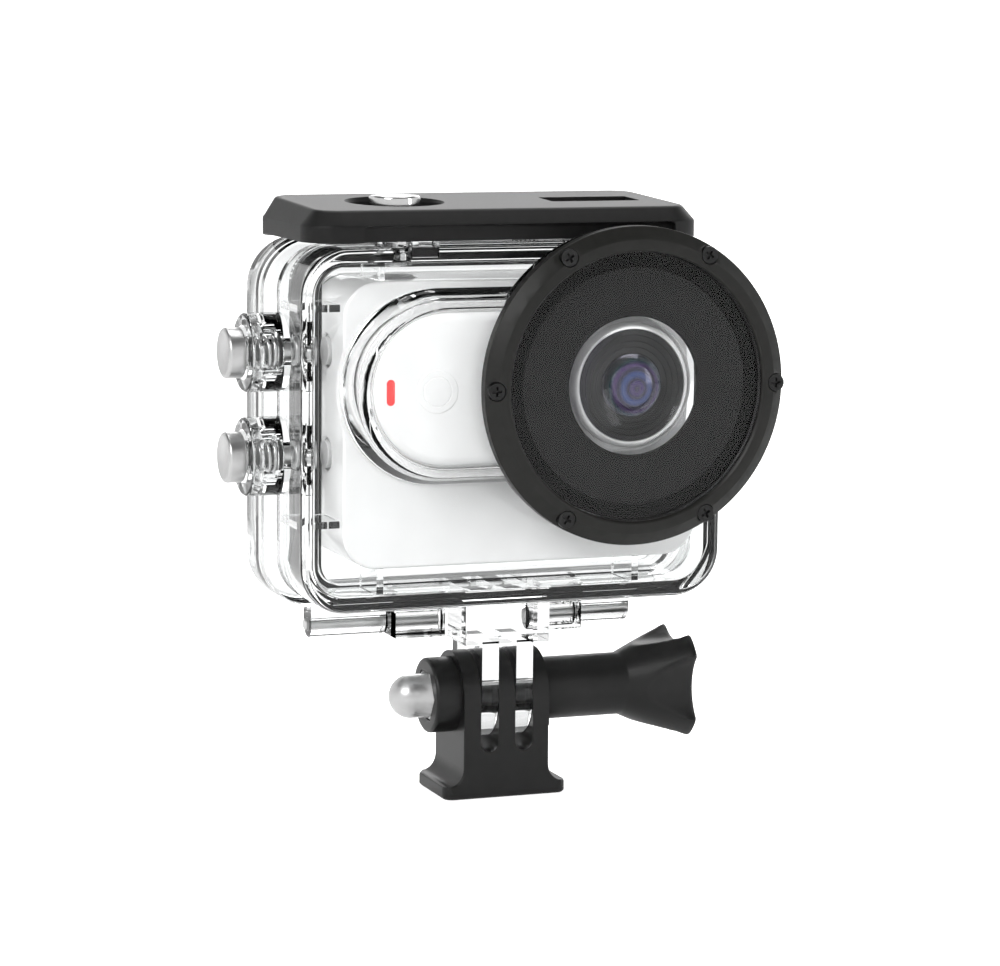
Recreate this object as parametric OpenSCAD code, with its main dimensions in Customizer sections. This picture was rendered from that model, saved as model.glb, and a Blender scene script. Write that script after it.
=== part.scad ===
// Compact action camera in its charging pod, sealed inside a clear dive housing that stands on a
// three-prong tripod adapter. Millimetres. +X is the viewer's right, +Y is to the rear, +Z is up.
// The origin is the mouth of the tripod thread, in the middle of the adapter's underside.

/* [Adapter] */
// Width of the foot flange along X
foot_w = 22.2; // [20:0.1:26]
// Depth of the foot flange along Y
foot_d = 15; // [15:0.1:20]
// Thickness of the foot flange
foot_h = 2.3; // [2:0.1:3]
// Height of the thumb screw's axis
screw_z = 17; // [16:0.1:18]
// Outer radius of every prong and finger
prong_r = 7.5; // [7:0.1:7.5]
// Thickness of each adapter prong
prong_t = 3; // [2.8:0.1:3]
// Distance between neighbouring prongs
prong_pitch = 6.2; // [6.2:0.1:6.4]
// Height of the slots' floors
slot_floor_z = 8; // [7.5:0.1:8.5]
// Wall radius of the quarter inch tripod thread
thread_r = 2.6; // [2.5:0.05:2.7]
// Depth of the tripod thread
thread_depth = 6; // [5:0.1:6.2]
// Outer radius of the nut boss
boss_r = 6.45; // [6.2:0.05:6.8]
// Length of the nut boss
boss_l = 4.5; // [4:0.1:5]

/* [Thumb screw] */
// Radius of the screw's shank
bolt_r = 2.45; // [2.4:0.05:2.5]
// Radius of the knob's neck
neck_r = 5.4; // [5:0.1:5.6]
// Radius over the knob's four lobes
knob_r = 10.8; // [10:0.1:10.9]
// Where the knob's lobes start along X
knob_x0 = 23; // [21:0.1:24]
// Outer end of the knob along X
knob_x1 = 34.7; // [33:0.1:35]

/* [Case] */
// Left side of the front shell
body_x0 = -38.2; // [-38.6:0.1:-38]
// Right side of the front shell
body_x1 = 36.8; // [36.4:0.1:37]
// Underside of the front shell
body_z0 = 34.1; // [34:0.1:34.3]
// Top of the front shell
body_z1 = 94.6; // [94.4:0.1:94.8]
// Front face of the front shell
body_y0 = -12.6; // [-13:0.1:-12.4]
// Wall thickness of the clear shells
wall = 2.2; // [2:0.1:2.2]
// How far the rim and the door stand out sideways from the front shell
rim_out = 2.2; // [1.8:0.1:2.2]
// How far the rim and the door stand out above the front shell
rim_out_z = 0.7; // [0.4:0.1:0.8]
// How far the rim and the door reach below the front shell
rim_drop = 1; // [0.8:0.1:1.2]
// Corner radius of the case
corner_r = 8; // [7:0.1:9]
// Front of the rim
rim_y0 = 1.6; // [1.4:0.1:1.8]
// Back of the rim, where the door meets it
rim_y1 = 4.3; // [4.2:0.1:4.3]

/* [Port] */
// Middle of the lens port along X
port_x = 17; // [16.5:0.1:17.5]
// Middle of the lens port along Z
port_z = 71.6; // [71:0.1:72]
// Outer radius of the port ring
ring_r = 26.7; // [26.6:0.1:27]
// Inner radius of the port ring's lip
ring_lip_r = 22.5; // [22:0.1:22.6]
// Front face of the port ring
ring_y0 = -23; // [-23.4:0.1:-23]
// Radius of the circle of port screws
port_screw_pcr = 25.05; // [25:0.05:25.1]
// Number of port screws
port_screws_n = 6; // [6:6:6]

/* [Door and hinge] */
// Front of the door's rim
door_y0 = 4.6; // [4.6:0.1:4.7]
// Back face of the door
door_y1 = 13; // [13:0.1:13.4]
// Distance of the hinge axis along Y
hinge_y = 8; // [8:0.1:8.2]
// Height of the hinge axis
hinge_z = 29; // [28.8:0.1:29]
// Radius of the hinge knuckles
knuckle_r = 2.25; // [2.1:0.05:2.25]
// Radius of the hinge pins
pin_r = 1; // [0.9:0.05:1]

/* [Latch] */
// Left end of the latch plate
latch_x0 = -38; // [-38.4:0.1:-37.6]
// Right end of the latch plate
latch_x1 = 31.4; // [31:0.1:31.8]
// Front edge of the latch plate
latch_y0 = -16.4; // [-16.5:0.1:-16]
// Back edge of the latch plate
latch_y1 = 15.6; // [15.5:0.1:15.8]
// Bottom of the latch plate's end legs
latch_z0 = 95.8; // [95.8:0.1:96]
// Bottom edge of the latch plate's bevel
bevel_z0 = 98.6; // [98.5:0.1:98.8]
// Height of the bevel's top edge at the front
latch_z1 = 101; // [100.8:0.1:101.2]
// How much higher the top is at the back
latch_rise = 1; // [0.6:0.1:1.2]
// Distance of the latch hinge along Y
latch_pin_y = -12; // [-12.1:0.1:-11.9]
// Height of the latch hinge
latch_pin_z = 97.1; // [97:0.1:97.2]
// Travel of the lock slider
lock_travel = 3; // [2.5:0.1:3]

/* [Buttons] */
// Middle of the shutter button along X
shutter_x = -18.4; // [-18.6:0.1:-18]
// Middle of the shutter button along Y
shutter_y = -0.8; // [-1:0.1:-0.6]
// Radius of the shutter button's cap
shutter_r = 4.35; // [4.2:0.05:4.4]
// Top of the shutter button
shutter_z1 = 102.8; // [102.6:0.1:103]
// Radius of the hole around the shutter button
shutter_hole_r = 8.1; // [8:0.1:8.2]
// Heights of the two side buttons
side_z = [76.8, 59.4]; // [58:0.1:78]
// Radius of the side buttons' caps
side_r = 4.25; // [4.2:0.05:4.3]
// Outer face of the side buttons' caps
side_x0 = -48; // [-48.2:0.1:-47.8]
// Radius of all three plungers
stem_r = 1.5; // [1.4:0.05:1.5]

/* [Camera and pod] */
// Left side of the camera pod
pod_x0 = -30.3; // [-30.4:0.1:-30.2]
// Right side of the camera pod
pod_x1 = 33.2; // [33:0.1:33.3]
// Underside of the camera pod
pod_z0 = 41; // [40.8:0.1:41.2]
// Top of the camera pod
pod_z1 = 88.9; // [88.8:0.1:88.9]
// Front face of the camera pod
pod_y0 = -9.3; // [-9.4:0.1:-9.2]
// Left end of the camera
cam_x0 = -27.6; // [-27.8:0.1:-27.4]
// Half the camera's height and its end radius
cam_r = 12.8; // [12.7:0.1:12.9]
// Front face of the camera
cam_y0 = -17; // [-17.1:0.1:-16.9]
// Back face of the camera
cam_y1 = 4.4; // [4.3:0.1:4.5]

/* [Hidden] */

$fn = 48;
eps = 0.02;            // overlap that makes a cut run clean through a face
gap = 0.3;             // clearance between pieces that move past each other
run_fit = 0.08;        // radial clearance of a pin or stem in its bore

// Adapter
half_base_w = prong_pitch + prong_t / 2;
finger_t = 3;
finger_x = prong_pitch / 2;
block_half_w = 7.6;
block_z0 = 26.5;
slot_half_w = finger_t / 2 + 0.1;
foot_r = 1.8;
flare = 3;              // radius of the fillets between the foot and the prongs
insert_r = 4.4;
nut_af = 8;
nut_r = 3.75;
hex_ratio = 1 / cos(30); // corner radius of a hexagon over half its width across flats
nut_x0 = -half_base_w - boss_l;
nut_dome_x = nut_x0 - 2.7;
nut_seat_x = -half_base_w - 0.6;
bolt_bore_r = bolt_r + run_fit;
bolt_head_r = 4;
bolt_head_l = 4;
scoop_at = 15.5;        // middle and radius of the scoops between the knob's lobes
scoop_r = 8.7;

// Case
door_x0 = body_x0 - rim_out;
door_x1 = body_x1 + rim_out;
door_z0 = body_z0 - rim_drop;
door_z1 = body_z1 + rim_out_z;
edge = 2.5;
cavity_y0 = body_y0 + wall;
seal_x0 = -33.4;
seal_x1 = 37.2;
seal_z0 = door_z0 + 0.7;
seal_z1 = 93.8;
seal_w = 2.6;
seal_r = 6.6;
seal_y1 = 6.6;
lip_x0 = seal_x0 + seal_w + 0.2;
lip_x1 = seal_x1 - seal_w - 0.2;
lip_z0 = seal_z0 + seal_w + 0.2;
lip_z1 = seal_z1 - seal_w - 0.2;
lip_r = seal_r - seal_w - 0.2;
cavity_x0 = body_x0 + wall;
rib_t = 1.2;
rib_x = [-24, 22];
rib_z = [48, 84];
rib_y = [-8, 1];
rib_gap = 0.2;
pad_x = [-26, 25];
pad_z = [46, 80];
pad_w = 4;

// Bulge over the camera, and the port behind its ring
bulge_y0 = -19;
bulge_cavity_y0 = -17.4;
bulge_left_x = -15.6;
bulge_base_r = 16.4;
bulge_tip_r = 14.6;
bulge_cavity_r = 13.4;
port_face_y = -19.5;
port_flange_y = -17;
port_flange_r = 26.4;
barrel_r = 22.8;
barrel_bore_r = 20.6;
glass_r = 23.4;
glass_y0 = -22.3;
glass_y1 = -20.6;
ring_flat_r = 24.55;
ring_bevel = 1.5;
ring_y1 = port_face_y - 0.1;
hood_r = 22.1;
hood_hole_r = 11.6;
hood_y0 = -20.5;
screw_head_r = 1.45;
screw_head_y = ring_y0 + 1.15;
screw_r = 0.8;
screw_tip_y = -17.9;

// Knuckles: from and to along X
door_knuckles = [[-30.8, -17.4], [17.4, 27.6]];
shell_knuckles = [[-17, -block_half_w + eps], [block_half_w - eps, 17]];
pins = [[-31.4, -block_half_w - 0.4], [block_half_w + 0.4, 28.2]];

// Latch
latch_wall = 2;
bevel = 2.3;
front_leg_x = [-29, 26];
latch_pin_r = 0.8;
latch_knuckle_r = 1.7;
shell_latch_knuckles = [[-20.4, -15], [9, 14.4]];
plate_latch_knuckles = [[-26.8, -20.7], [-14.7, -9], [3.8, 8.7], [14.7, 20.6]];
latch_pin_x = [-27.2, 21];
hook_y0 = door_y1 - 2.2;
ramp = 10;
lock_pad_x = [11.2, 19];
lock_slot_x = [lock_pad_x[0] - 2.7, lock_pad_x[1] + lock_travel + 2.5];
lock_slot_y = [-4.3, 2.7];
lock_plate_x1 = 22;
lock_plate_z = [97.9, 98.85];
lock_foot_y = [-2, 0.4];
keeper_x = [25.6, 28, 29.4];
keeper_y = [-2.6, 1];
keeper_z = [97, 98.1];
lock_foot_z = [95.5, 96.6];

// Buttons
shutter_boss_r = 3.4;
shutter_boss_z1 = 96.4;
shutter_cap_z0 = 99.2;
shutter_stem_z0 = 91;
side_boss_x0 = -44.6;
side_collar_r = 6.6;
side_cap_x1 = side_x0 + 3;
side_step_x = -42.4;     // the well is wide enough for the cap as far as this
side_well_x = -39.6;
side_well_r = [side_r + gap, 3.3];
side_stem_x1 = -33;
side_foot_r = 2.4;
side_foot_l = 1.4;
o_ring_section = 0.5;
o_ring_r = stem_r + run_fit + o_ring_section;
clip_r = 3;
clip_t = 0.5;
clip_in_r = stem_r - 0.4;
clip_room_r = clip_r + 0.4;
clip_set = 0.15;        // the snap ring's distance from the wall it rests on

// Camera and pod
pod_wall = 1.4;
pod_r = 6;
pod_y1 = 8;
pod_back_y = 10.2;
cam_left_x = cam_x0 + cam_r;
cam_wall = 1.2;
pod_key_r = 3;
pod_side_key_r = 2.4;
contact_x = [-6:2:0];
contact_r = 0.5;
key_x = -16.5;
key_z = port_z - 0.3;
key_r = 3.6;
light_x = -24.6;
light_z = port_z - 0.2;
light_w = 1.4;
light_h = 4.3;
cam_split_y = -8;
pocket_gap = 0.25;
pocket_y = cam_y1 + gap;
board_y = 6.4;
lens_r = 9.5;
lens_bezel_r = 11.3;
lens_face_y = -19.3;
lens_glass_r = 5.35;
lens_dome_y = 20.1;
lens_dome_r = 11.3;
lens_seat_y = 16.2;
lens_bore_r = 4.2;
lens_barrel_r = 6.6;

clear = [0.86, 0.9, 0.92, 0.45];
black = [0.09, 0.09, 0.1];
graphite = [0.2, 0.2, 0.2];
steel = [0.74, 0.74, 0.73];
white = [0.95, 0.95, 0.94];

// ---- shared shapes ----

// Raises a flat shape drawn in X and Z into a slab between two distances along Y
module slab_y(y0, y1) translate([0, y1, 0]) rotate([90, 0, 0]) linear_extrude(y1 - y0) children();

// Raises a flat shape drawn in Y and Z into a slab between two distances along X
module slab_x(x0, x1) translate([x0, 0, 0]) rotate([90, 0, 90]) linear_extrude(x1 - x0) children();

module rounded(x0, x1, z0, z1, r) {
    translate([x0 + r, z0]) square([x1 - x0 - 2 * r, z1 - z0]);
    translate([x0, z0 + r]) square([x1 - x0, z1 - z0 - 2 * r]);
    for (x = [x0 + r, x1 - r], z = [z0 + r, z1 - r]) translate([x, z]) circle(r);
}

module pill(x0, x1, z, r) {
    translate([x0, z - r]) square([x1 - x0, 2 * r]);
    for (x = [x0, x1]) translate([x, z]) circle(r);
}

module block(x0, x1, y0, y1, z0, z1) translate([x0, y0, z0]) cube([x1 - x0, y1 - y0, z1 - z0]);

module rod_x(x0, x1, y, z, r) translate([x0, y, z]) rotate([0, 90, 0]) cylinder(h = x1 - x0, r = r);

module rod_y(y0, y1, x, z, r) translate([x, y1, z]) rotate([90, 0, 0]) cylinder(h = y1 - y0, r = r);

module rod_z(z0, z1, x, y, r) translate([x, y, z0]) cylinder(h = z1 - z0, r = r);

module tube_z(h, r_out, r_in) difference() {
    cylinder(h = h, r = r_out);
    translate([0, 0, -1]) cylinder(h = h + 2, r = r_in);
}

module torus(r, section) rotate_extrude() translate([r, 0]) circle(section, $fn = 20);

// Compression spring along +Z, with its lowest point at z = 0
module coil(r, wire, h, turns) {
    sides = 6;
    per_turn = 14;
    rings = ceil(turns * per_turn);
    pitch = (h - 2 * wire) / turns;
    pts = [for (i = [0:rings]) let (a = 360 * i / per_turn)
        for (k = [0:sides - 1]) let (b = 360 * k / sides, q = r + wire * cos(b))
            [q * cos(a), q * sin(a), wire + pitch * i / per_turn + wire * sin(b)]];
    skin = [for (i = [0:rings - 1], k = [0:sides - 1]) let (n = (k + 1) % sides, a = i * sides, c = a + sides)
        [a + k, c + k, c + n, a + n]];
    ends = [[for (k = [0:sides - 1]) k], [for (k = [sides - 1:-1:0]) rings * sides + k]];
    polyhedron(points = pts, faces = concat(skin, ends));
}

// Snap ring with an open mouth, flat on z = 0
module e_clip(r_in) difference() {
    tube_z(clip_t, clip_r, r_in);
    translate([0, -r_in * 0.8, -1]) cube([clip_r + 1, r_in * 1.6, clip_t + 2]);
}

module on_port_circle() for (i = [0:port_screws_n - 1])
    translate([port_x, 0, port_z]) rotate([0, i * 360 / port_screws_n, 0])
        translate([port_screw_pcr, 0, 0]) children();

// ---- tripod adapter ----

module prong_profile() {
    translate([-prong_r, 0]) square([2 * prong_r, screw_z]);
    translate([0, screw_z]) circle(prong_r);
}

// Concave fillet between the foot and one side of the prongs, along Y
module foot_fillet(run, reach) difference() {
    translate([0, -run / 2, 0]) cube([reach, run, reach]);
    translate([reach, 0, reach]) rotate([90, 0, 0]) cylinder(h = run + 2, r = reach, center = true);
}

module mount_base() color(black) difference() {
    union() {
        linear_extrude(foot_h) rounded(-foot_w / 2, foot_w / 2, -foot_d / 2, foot_d / 2, foot_r);
        slab_x(-half_base_w, half_base_w) prong_profile();
        rod_x(nut_x0, -half_base_w + eps, 0, screw_z, boss_r);
        for (turn = [0, 180]) rotate([0, 0, turn])
            translate([half_base_w - eps, 0, foot_h - eps]) foot_fillet(2 * prong_r, flare);
    }
    for (side = [-1, 1]) block(side * finger_x - slot_half_w, side * finger_x + slot_half_w,
        -2 * prong_r, 2 * prong_r, slot_floor_z, 2 * screw_z);
    rod_x(nut_x0 - 1, half_base_w + 1, 0, screw_z, bolt_bore_r);
    rod_x(nut_x0 - 1, nut_seat_x, 0, screw_z, nut_af / 2 * hex_ratio + 0.05);
    translate([0, 0, -1]) cylinder(h = thread_depth + 1.2, r = insert_r);
}

module thread_insert() color([0.72, 0.6, 0.35]) tube_z(thread_depth, insert_r, thread_r);

module cap_nut() color(steel) difference() {
    union() {
        translate([nut_x0, 0, screw_z]) rotate([0, 90, 0])
            cylinder(h = nut_seat_x - nut_x0, r = nut_af / 2 * hex_ratio, $fn = 6);
        rod_x(nut_dome_x, nut_x0 + eps, 0, screw_z, nut_r);
        translate([nut_dome_x, 0, screw_z]) sphere(nut_r);
    }
    rod_x(nut_dome_x, nut_seat_x + 1, 0, screw_z, bolt_bore_r);
}

module thumb_bolt() color(steel) {
    rod_x(nut_dome_x + 1, knob_x1 - bolt_head_l, 0, screw_z, bolt_r);
    translate([knob_x1 - 2 * bolt_head_l, 0, screw_z]) rotate([0, 90, 0])
        cylinder(h = bolt_head_l, r = bolt_head_r, $fn = 6);
}

module knob_star() difference() {
    circle(knob_r);
    for (a = [0:90:270]) rotate(a) translate([scoop_at, 0]) circle(scoop_r);
}

module thumb_knob() color(black) difference() {
    union() {
        rod_x(half_base_w + gap, knob_x0 + eps, 0, screw_z, neck_r);
        intersection() {
            translate([knob_x0, 0, screw_z]) rotate([0, 90, 0]) linear_extrude(knob_x1 - knob_x0)
                knob_star();
            translate([knob_x0, 0, screw_z]) rotate([0, 90, 0])
                cylinder(h = knob_x1 - knob_x0, r1 = neck_r, r2 = knob_r);
        }
    }
    thumb_bolt();
}

// ---- clear case ----

module case_outline(grow) rounded(body_x0 - grow, body_x1 + grow, body_z0 - grow, body_z1 + grow,
    corner_r + grow);

module door_outline() rounded(door_x0, door_x1, door_z0, door_z1, corner_r + rim_out_z);

module seal_outline(inset) rounded(seal_x0 + inset, seal_x1 - inset, seal_z0 + inset,
    seal_z1 - inset, seal_r - inset);

// Clear collar around a side button; it stays outside the door's path
module side_collar(z) {
    rod_x(side_boss_x0, door_x0 - gap, 0, z, side_collar_r);
    intersection() {
        rod_x(side_boss_x0, body_x0 + 1, 0, z, side_collar_r);
        block(side_boss_x0, body_x0 + 1, -side_collar_r, rim_y1, z - side_collar_r, z + side_collar_r);
    }
}

module shell_outside() {
    slab_y(rim_y0, rim_y1) door_outline();
    slab_y(body_y0 + edge, rim_y0 + eps) case_outline(0);
    hull() {
        slab_y(body_y0 + edge, body_y0 + edge + eps) case_outline(0, $fn = 32);
        slab_y(body_y0, body_y0 + eps) case_outline(-edge, $fn = 32);
    }
    hull() {
        slab_y(body_y0, body_y0 + 1) pill(bulge_left_x, port_x, port_z, bulge_base_r, $fn = 32);
        slab_y(bulge_y0, bulge_y0 + eps) pill(bulge_left_x, port_x - 12, port_z, bulge_tip_r, $fn = 32);
    }
    rod_y(port_flange_y - eps, body_y0 + 1, port_x, port_z, barrel_r);
    rod_y(port_face_y, port_flange_y, port_x, port_z, port_flange_r);
    for (z = side_z) side_collar(z);
    rod_z(body_z1 - 1, shutter_boss_z1, shutter_x, shutter_y, shutter_boss_r);
}

module shell_inside() {
    slab_y(cavity_y0, rim_y0) rounded(cavity_x0, lip_x1, body_z0 + wall, body_z1 - wall, corner_r - wall);
    slab_y(rim_y0 - eps, rim_y1 + 1) rounded(lip_x0, lip_x1, lip_z0, lip_z1, lip_r);
    slab_y(bulge_cavity_y0, cavity_y0 + eps) pill(cam_left_x, port_x, port_z, bulge_cavity_r);
    rod_y(port_face_y - 1, cavity_y0 + 1, port_x, port_z, barrel_bore_r);
    for (z = side_z) {
        rod_x(side_boss_x0 - 1, side_step_x, 0, z, side_well_r[0]);
        rod_x(side_boss_x0, side_well_x, 0, z, side_well_r[1]);
        rod_x(side_boss_x0, side_well_x + 2 * o_ring_section, 0, z, o_ring_r + o_ring_section);
        rod_x(side_boss_x0, lip_x0 + 1, 0, z, stem_r + run_fit);
        rod_x(cavity_x0 - eps, lip_x0 + 1, 0, z, clip_room_r);
    }
    rod_z(body_z1 - wall - 1, shutter_boss_z1 + 1, shutter_x, shutter_y, stem_r + run_fit);
    rod_z(lip_z1 - 1, body_z1 - wall, shutter_x, shutter_y, clip_room_r);
    rod_z(shutter_boss_z1 - 2 * o_ring_section, shutter_boss_z1 + 1, shutter_x, shutter_y,
        o_ring_r + o_ring_section);
}

// Low ribs that hold the pod off the shell's walls
module locating_ribs() {
    for (x = rib_x) {
        block(x, x + rib_t, rib_y[0], rib_y[1], pod_z1 + rib_gap, body_z1 - wall + eps);
        block(x, x + rib_t, rib_y[0], rib_y[1], body_z0 + wall - eps, pod_z0 - rib_gap);
    }
    for (z = rib_z) block(cavity_x0 - eps, pod_x0 - rib_gap, rib_y[0], rib_y[1], z, z + rib_t);
}

module finger_mount() difference() {
    union() {
        block(-block_half_w, block_half_w, -prong_r, prong_r - 1.4, block_z0, door_z0 - 0.4);
        block(-block_half_w, block_half_w, -prong_r, rim_y1, door_z0 - 0.5, body_z0 + eps);
        for (side = [-1, 1]) slab_x(side * finger_x - finger_t / 2, side * finger_x + finger_t / 2) {
            translate([-prong_r, screw_z]) square([2 * prong_r, block_z0 - screw_z + eps]);
            translate([0, screw_z]) circle(prong_r);
        }
    }
    rod_x(-block_half_w, block_half_w, 0, screw_z, bolt_bore_r);
    for (k = pins) rod_x(k[0], k[1], hinge_y, hinge_z, knuckle_r + gap);
}

// One knuckle of the front shell with the arm that joins it to the rim
module shell_knuckle(k) {
    rod_x(k[0], k[1], hinge_y, hinge_z, knuckle_r);
    block(k[0], k[1], rim_y0, hinge_y, hinge_z - knuckle_r, hinge_z + knuckle_r - 0.05);
    block(k[0], k[1], rim_y0, rim_y1, hinge_z, door_z0 + 1);
}

module shell_latch_knuckle(k) {
    rod_x(k[0], k[1], latch_pin_y, latch_pin_z, latch_knuckle_r);
    block(k[0], k[1], latch_pin_y - latch_knuckle_r, latch_pin_y + 4, body_z1 - 2.4, latch_pin_z);
}

module keeper() {
    block(keeper_x[1], keeper_x[2], keeper_y[0], keeper_y[1], body_z1 - eps, keeper_z[1]);
    block(keeper_x[0], keeper_x[1] + eps, keeper_y[0], keeper_y[1], keeper_z[0], keeper_z[1]);
}

module front_shell() color(clear) {
    difference() {
        union() {
            difference() {
                shell_outside();
                shell_inside();
            }
            for (k = shell_knuckles) shell_knuckle(k);
            for (k = shell_latch_knuckles) shell_latch_knuckle(k);
            keeper();
        }
        on_port_circle() rod_y(port_face_y - 1, screw_tip_y, 0, 0, screw_r);
        for (k = pins) rod_x(k[0], k[1], hinge_y, hinge_z, pin_r);
        rod_x(latch_pin_x[0], latch_pin_x[1], latch_pin_y, latch_pin_z, latch_pin_r);
    }
    finger_mount();
    locating_ribs();
}

module port_ring() color(black) difference() {
    translate([port_x, 0, port_z]) rotate([90, 0, 0]) rotate_extrude($fn = 96) polygon([
        [ring_lip_r, -ring_y0 - 0.4], [ring_lip_r + 0.4, -ring_y0], [ring_flat_r, -ring_y0],
        [ring_r, -ring_y0 - ring_bevel], [ring_r, -ring_y1], [glass_r + 0.1, -ring_y1],
        [glass_r + 0.1, -glass_y0], [ring_lip_r, -glass_y0]]);
    on_port_circle() rod_y(ring_y0 - 1, screw_head_y, 0, 0, screw_head_r + 0.1);
    on_port_circle() rod_y(ring_y0 - 1, ring_y1 + 1, 0, 0, screw_r);
}

module port_glass() color([0.6, 0.7, 0.8, 0.3]) rod_y(glass_y0, glass_y1, port_x, port_z, glass_r, $fn = 96);

module port_o_ring() color(black) translate([port_x, (glass_y1 + port_face_y) / 2, port_z])
    rotate([90, 0, 0]) torus(glass_r - 0.45, (port_face_y - glass_y1) / 2);

module port_screws() color(graphite) on_port_circle() difference() {
    union() {
        rod_y(screw_head_y - 1, screw_head_y, 0, 0, screw_head_r);
        rod_y(screw_head_y - eps, screw_tip_y - gap, 0, 0, screw_r);
    }
    for (turn = [0, 90]) rotate([0, turn, 0])
        block(-0.8, 0.8, screw_head_y - 2, screw_head_y - 0.4, -0.2, 0.2);
}

module port_hood() color(graphite) difference() {
    rod_y(hood_y0, port_face_y, port_x, port_z, hood_r);
    rod_y(hood_y0 - 1, port_face_y + 1, port_x, port_z, hood_hole_r);
}

// ---- door ----

module hinge_pins() color(steel) for (k = pins) rod_x(k[0], k[1], hinge_y, hinge_z, pin_r);

module door_knuckle(k) {
    rod_x(k[0], k[1], hinge_y, hinge_z, knuckle_r);
    block(k[0], k[1], hinge_y - knuckle_r, hinge_y + knuckle_r, hinge_z, door_z0 + 1);
}

// The ramp along the top of the door that the latch plate's hook bears on
module ramp_cut(lift) translate([0, hook_y0, door_z1 + lift]) rotate([-ramp, 0, 0])
    translate([latch_x0 - 20, 0, 0]) cube([120, 12, 6]);

module rear_door() color(clear) difference() {
    union() {
        difference() {
            slab_y(door_y0, door_y1) door_outline();
            slab_y(door_y0 - 1, door_y1 - wall) rounded(lip_x0, lip_x1, lip_z0, lip_z1, lip_r);
        }
        for (k = door_knuckles) door_knuckle(k);
    }
    difference() {
        slab_y(door_y0 - 1, seal_y1) seal_outline(0);
        slab_y(door_y0 - 1, seal_y1) seal_outline(seal_w);
    }
    ramp_cut(0);
    for (k = door_knuckles) rod_x(k[0] - 1, k[1] + 1, hinge_y, hinge_z, pin_r + run_fit);
}

module door_seal() color(black) slab_y(rim_y1 + 0.05, seal_y1) difference() {
    seal_outline(0);
    seal_outline(seal_w);
}

module door_pads() color([0.85, 0.85, 0.85]) for (x = pad_x, z = pad_z)
    block(x, x + pad_w, pod_back_y + eps, door_y1 - wall, z, z + pad_w);

// ---- latch ----

module latch_top_outline(inset) rounded(latch_x0 + inset, latch_x1 - inset, latch_y0 + inset,
    latch_y1 - inset, 6 - inset);

module latch_body(inset, drop) {
    translate([0, 0, latch_z0 - 4]) linear_extrude(bevel_z0 - latch_z0 + 4 + eps) latch_top_outline(inset);
    hull() {
        translate([0, 0, bevel_z0]) linear_extrude(eps) latch_top_outline(inset, $fn = 32);
        translate([0, latch_y0 + bevel, latch_z1 - drop]) rotate([atan(latch_rise / 27), 0, 0])
            translate([0, -latch_y0 - bevel, -eps]) linear_extrude(eps)
                latch_top_outline(bevel + inset, $fn = 32);
    }
}

module plate_latch_knuckle(k) {
    rod_x(k[0], k[1], latch_pin_y, latch_pin_z, latch_knuckle_r);
    block(k[0], k[1], latch_pin_y - latch_knuckle_r, latch_pin_y + latch_knuckle_r,
        latch_pin_z, latch_z1 - latch_wall + 0.3);
}

module latch_plate() color(graphite) difference() {
    union() {
        difference() {
            latch_body(0, 0);
            latch_body(latch_wall, latch_wall);
            block(front_leg_x[0], front_leg_x[1], latch_y0 - 1, latch_y0 + 6, latch_z0 - 9, bevel_z0);
        }
        intersection() {
            latch_body(0, 0);
            block(latch_x0, latch_x1, hook_y0, latch_y1, latch_z0 - 2, bevel_z0 + 0.5);
        }
        for (k = plate_latch_knuckles) plate_latch_knuckle(k);
    }
    block(latch_x0 - 1, latch_x1 + 1, latch_y0 - 1, hook_y0, latch_z0 - 9, latch_z0);
    translate([0, hook_y0 - 6, door_z1 + 0.4 - 5.9]) block(latch_x0 - 1, latch_x1 + 1, 0, 6.1, 0, 5.9);
    translate([0, hook_y0, door_z1 + 0.4]) rotate([-ramp, 0, 0])
        block(latch_x0 - 1, latch_x1 + 1, 0, 12, -12, 0);
    rod_x(latch_pin_x[0] - 1, latch_pin_x[1] + 1, latch_pin_y, latch_pin_z, latch_pin_r + run_fit);
    rod_z(latch_z0, latch_z1 + 4, shutter_x, shutter_y, shutter_hole_r);
    block(lock_slot_x[0], lock_slot_x[1], lock_slot_y[0], lock_slot_y[1], latch_z1 - 4, latch_z1 + 4);
}

module latch_pin() color(steel) rod_x(latch_pin_x[0], latch_pin_x[1], latch_pin_y, latch_pin_z, latch_pin_r);

// Torsion spring around the latch pin
module latch_spring() color(steel) translate([-1.6, latch_pin_y, latch_pin_z]) rotate([0, 90, 0])
    coil(1.35, 0.3, 4.6, 5);

module lock_slider() color(black) {
    pad_z = latch_z1 - 0.5;
    block(lock_pad_x[0], lock_pad_x[1], lock_slot_y[0] + gap, lock_slot_y[1] - gap,
        lock_plate_z[1] - 0.05, pad_z - 0.6);
    for (i = [0:4]) block(lock_pad_x[0] + 0.5 + 1.5 * i, lock_pad_x[0] + 1.3 + 1.5 * i,
        lock_slot_y[0] + gap, lock_slot_y[1] - gap, pad_z - 0.7, pad_z);
    block(lock_pad_x[0] - 4, lock_plate_x1, lock_slot_y[0] - 1, lock_slot_y[1] + 1, lock_plate_z[0],
        lock_plate_z[1]);
    block(lock_plate_x1 - 1.4, lock_plate_x1, lock_foot_y[0], lock_foot_y[1], lock_foot_z[0],
        lock_plate_z[0] + 0.1);
    block(lock_plate_x1 - 1.4, keeper_x[0] - 1, lock_foot_y[0], lock_foot_y[1], lock_foot_z[0],
        lock_foot_z[1]);
}

// ---- buttons ----

module shutter_button() color(steel) difference() {
    union() {
        rod_z(shutter_cap_z0, shutter_z1, shutter_x, shutter_y, shutter_r);
        rod_z(shutter_stem_z0, shutter_cap_z0 + eps, shutter_x, shutter_y, stem_r);
    }
    translate([shutter_x, shutter_y, body_z1 - wall - clip_t - clip_set])
        tube_z(clip_t, stem_r + 1, clip_in_r);
}

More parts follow.
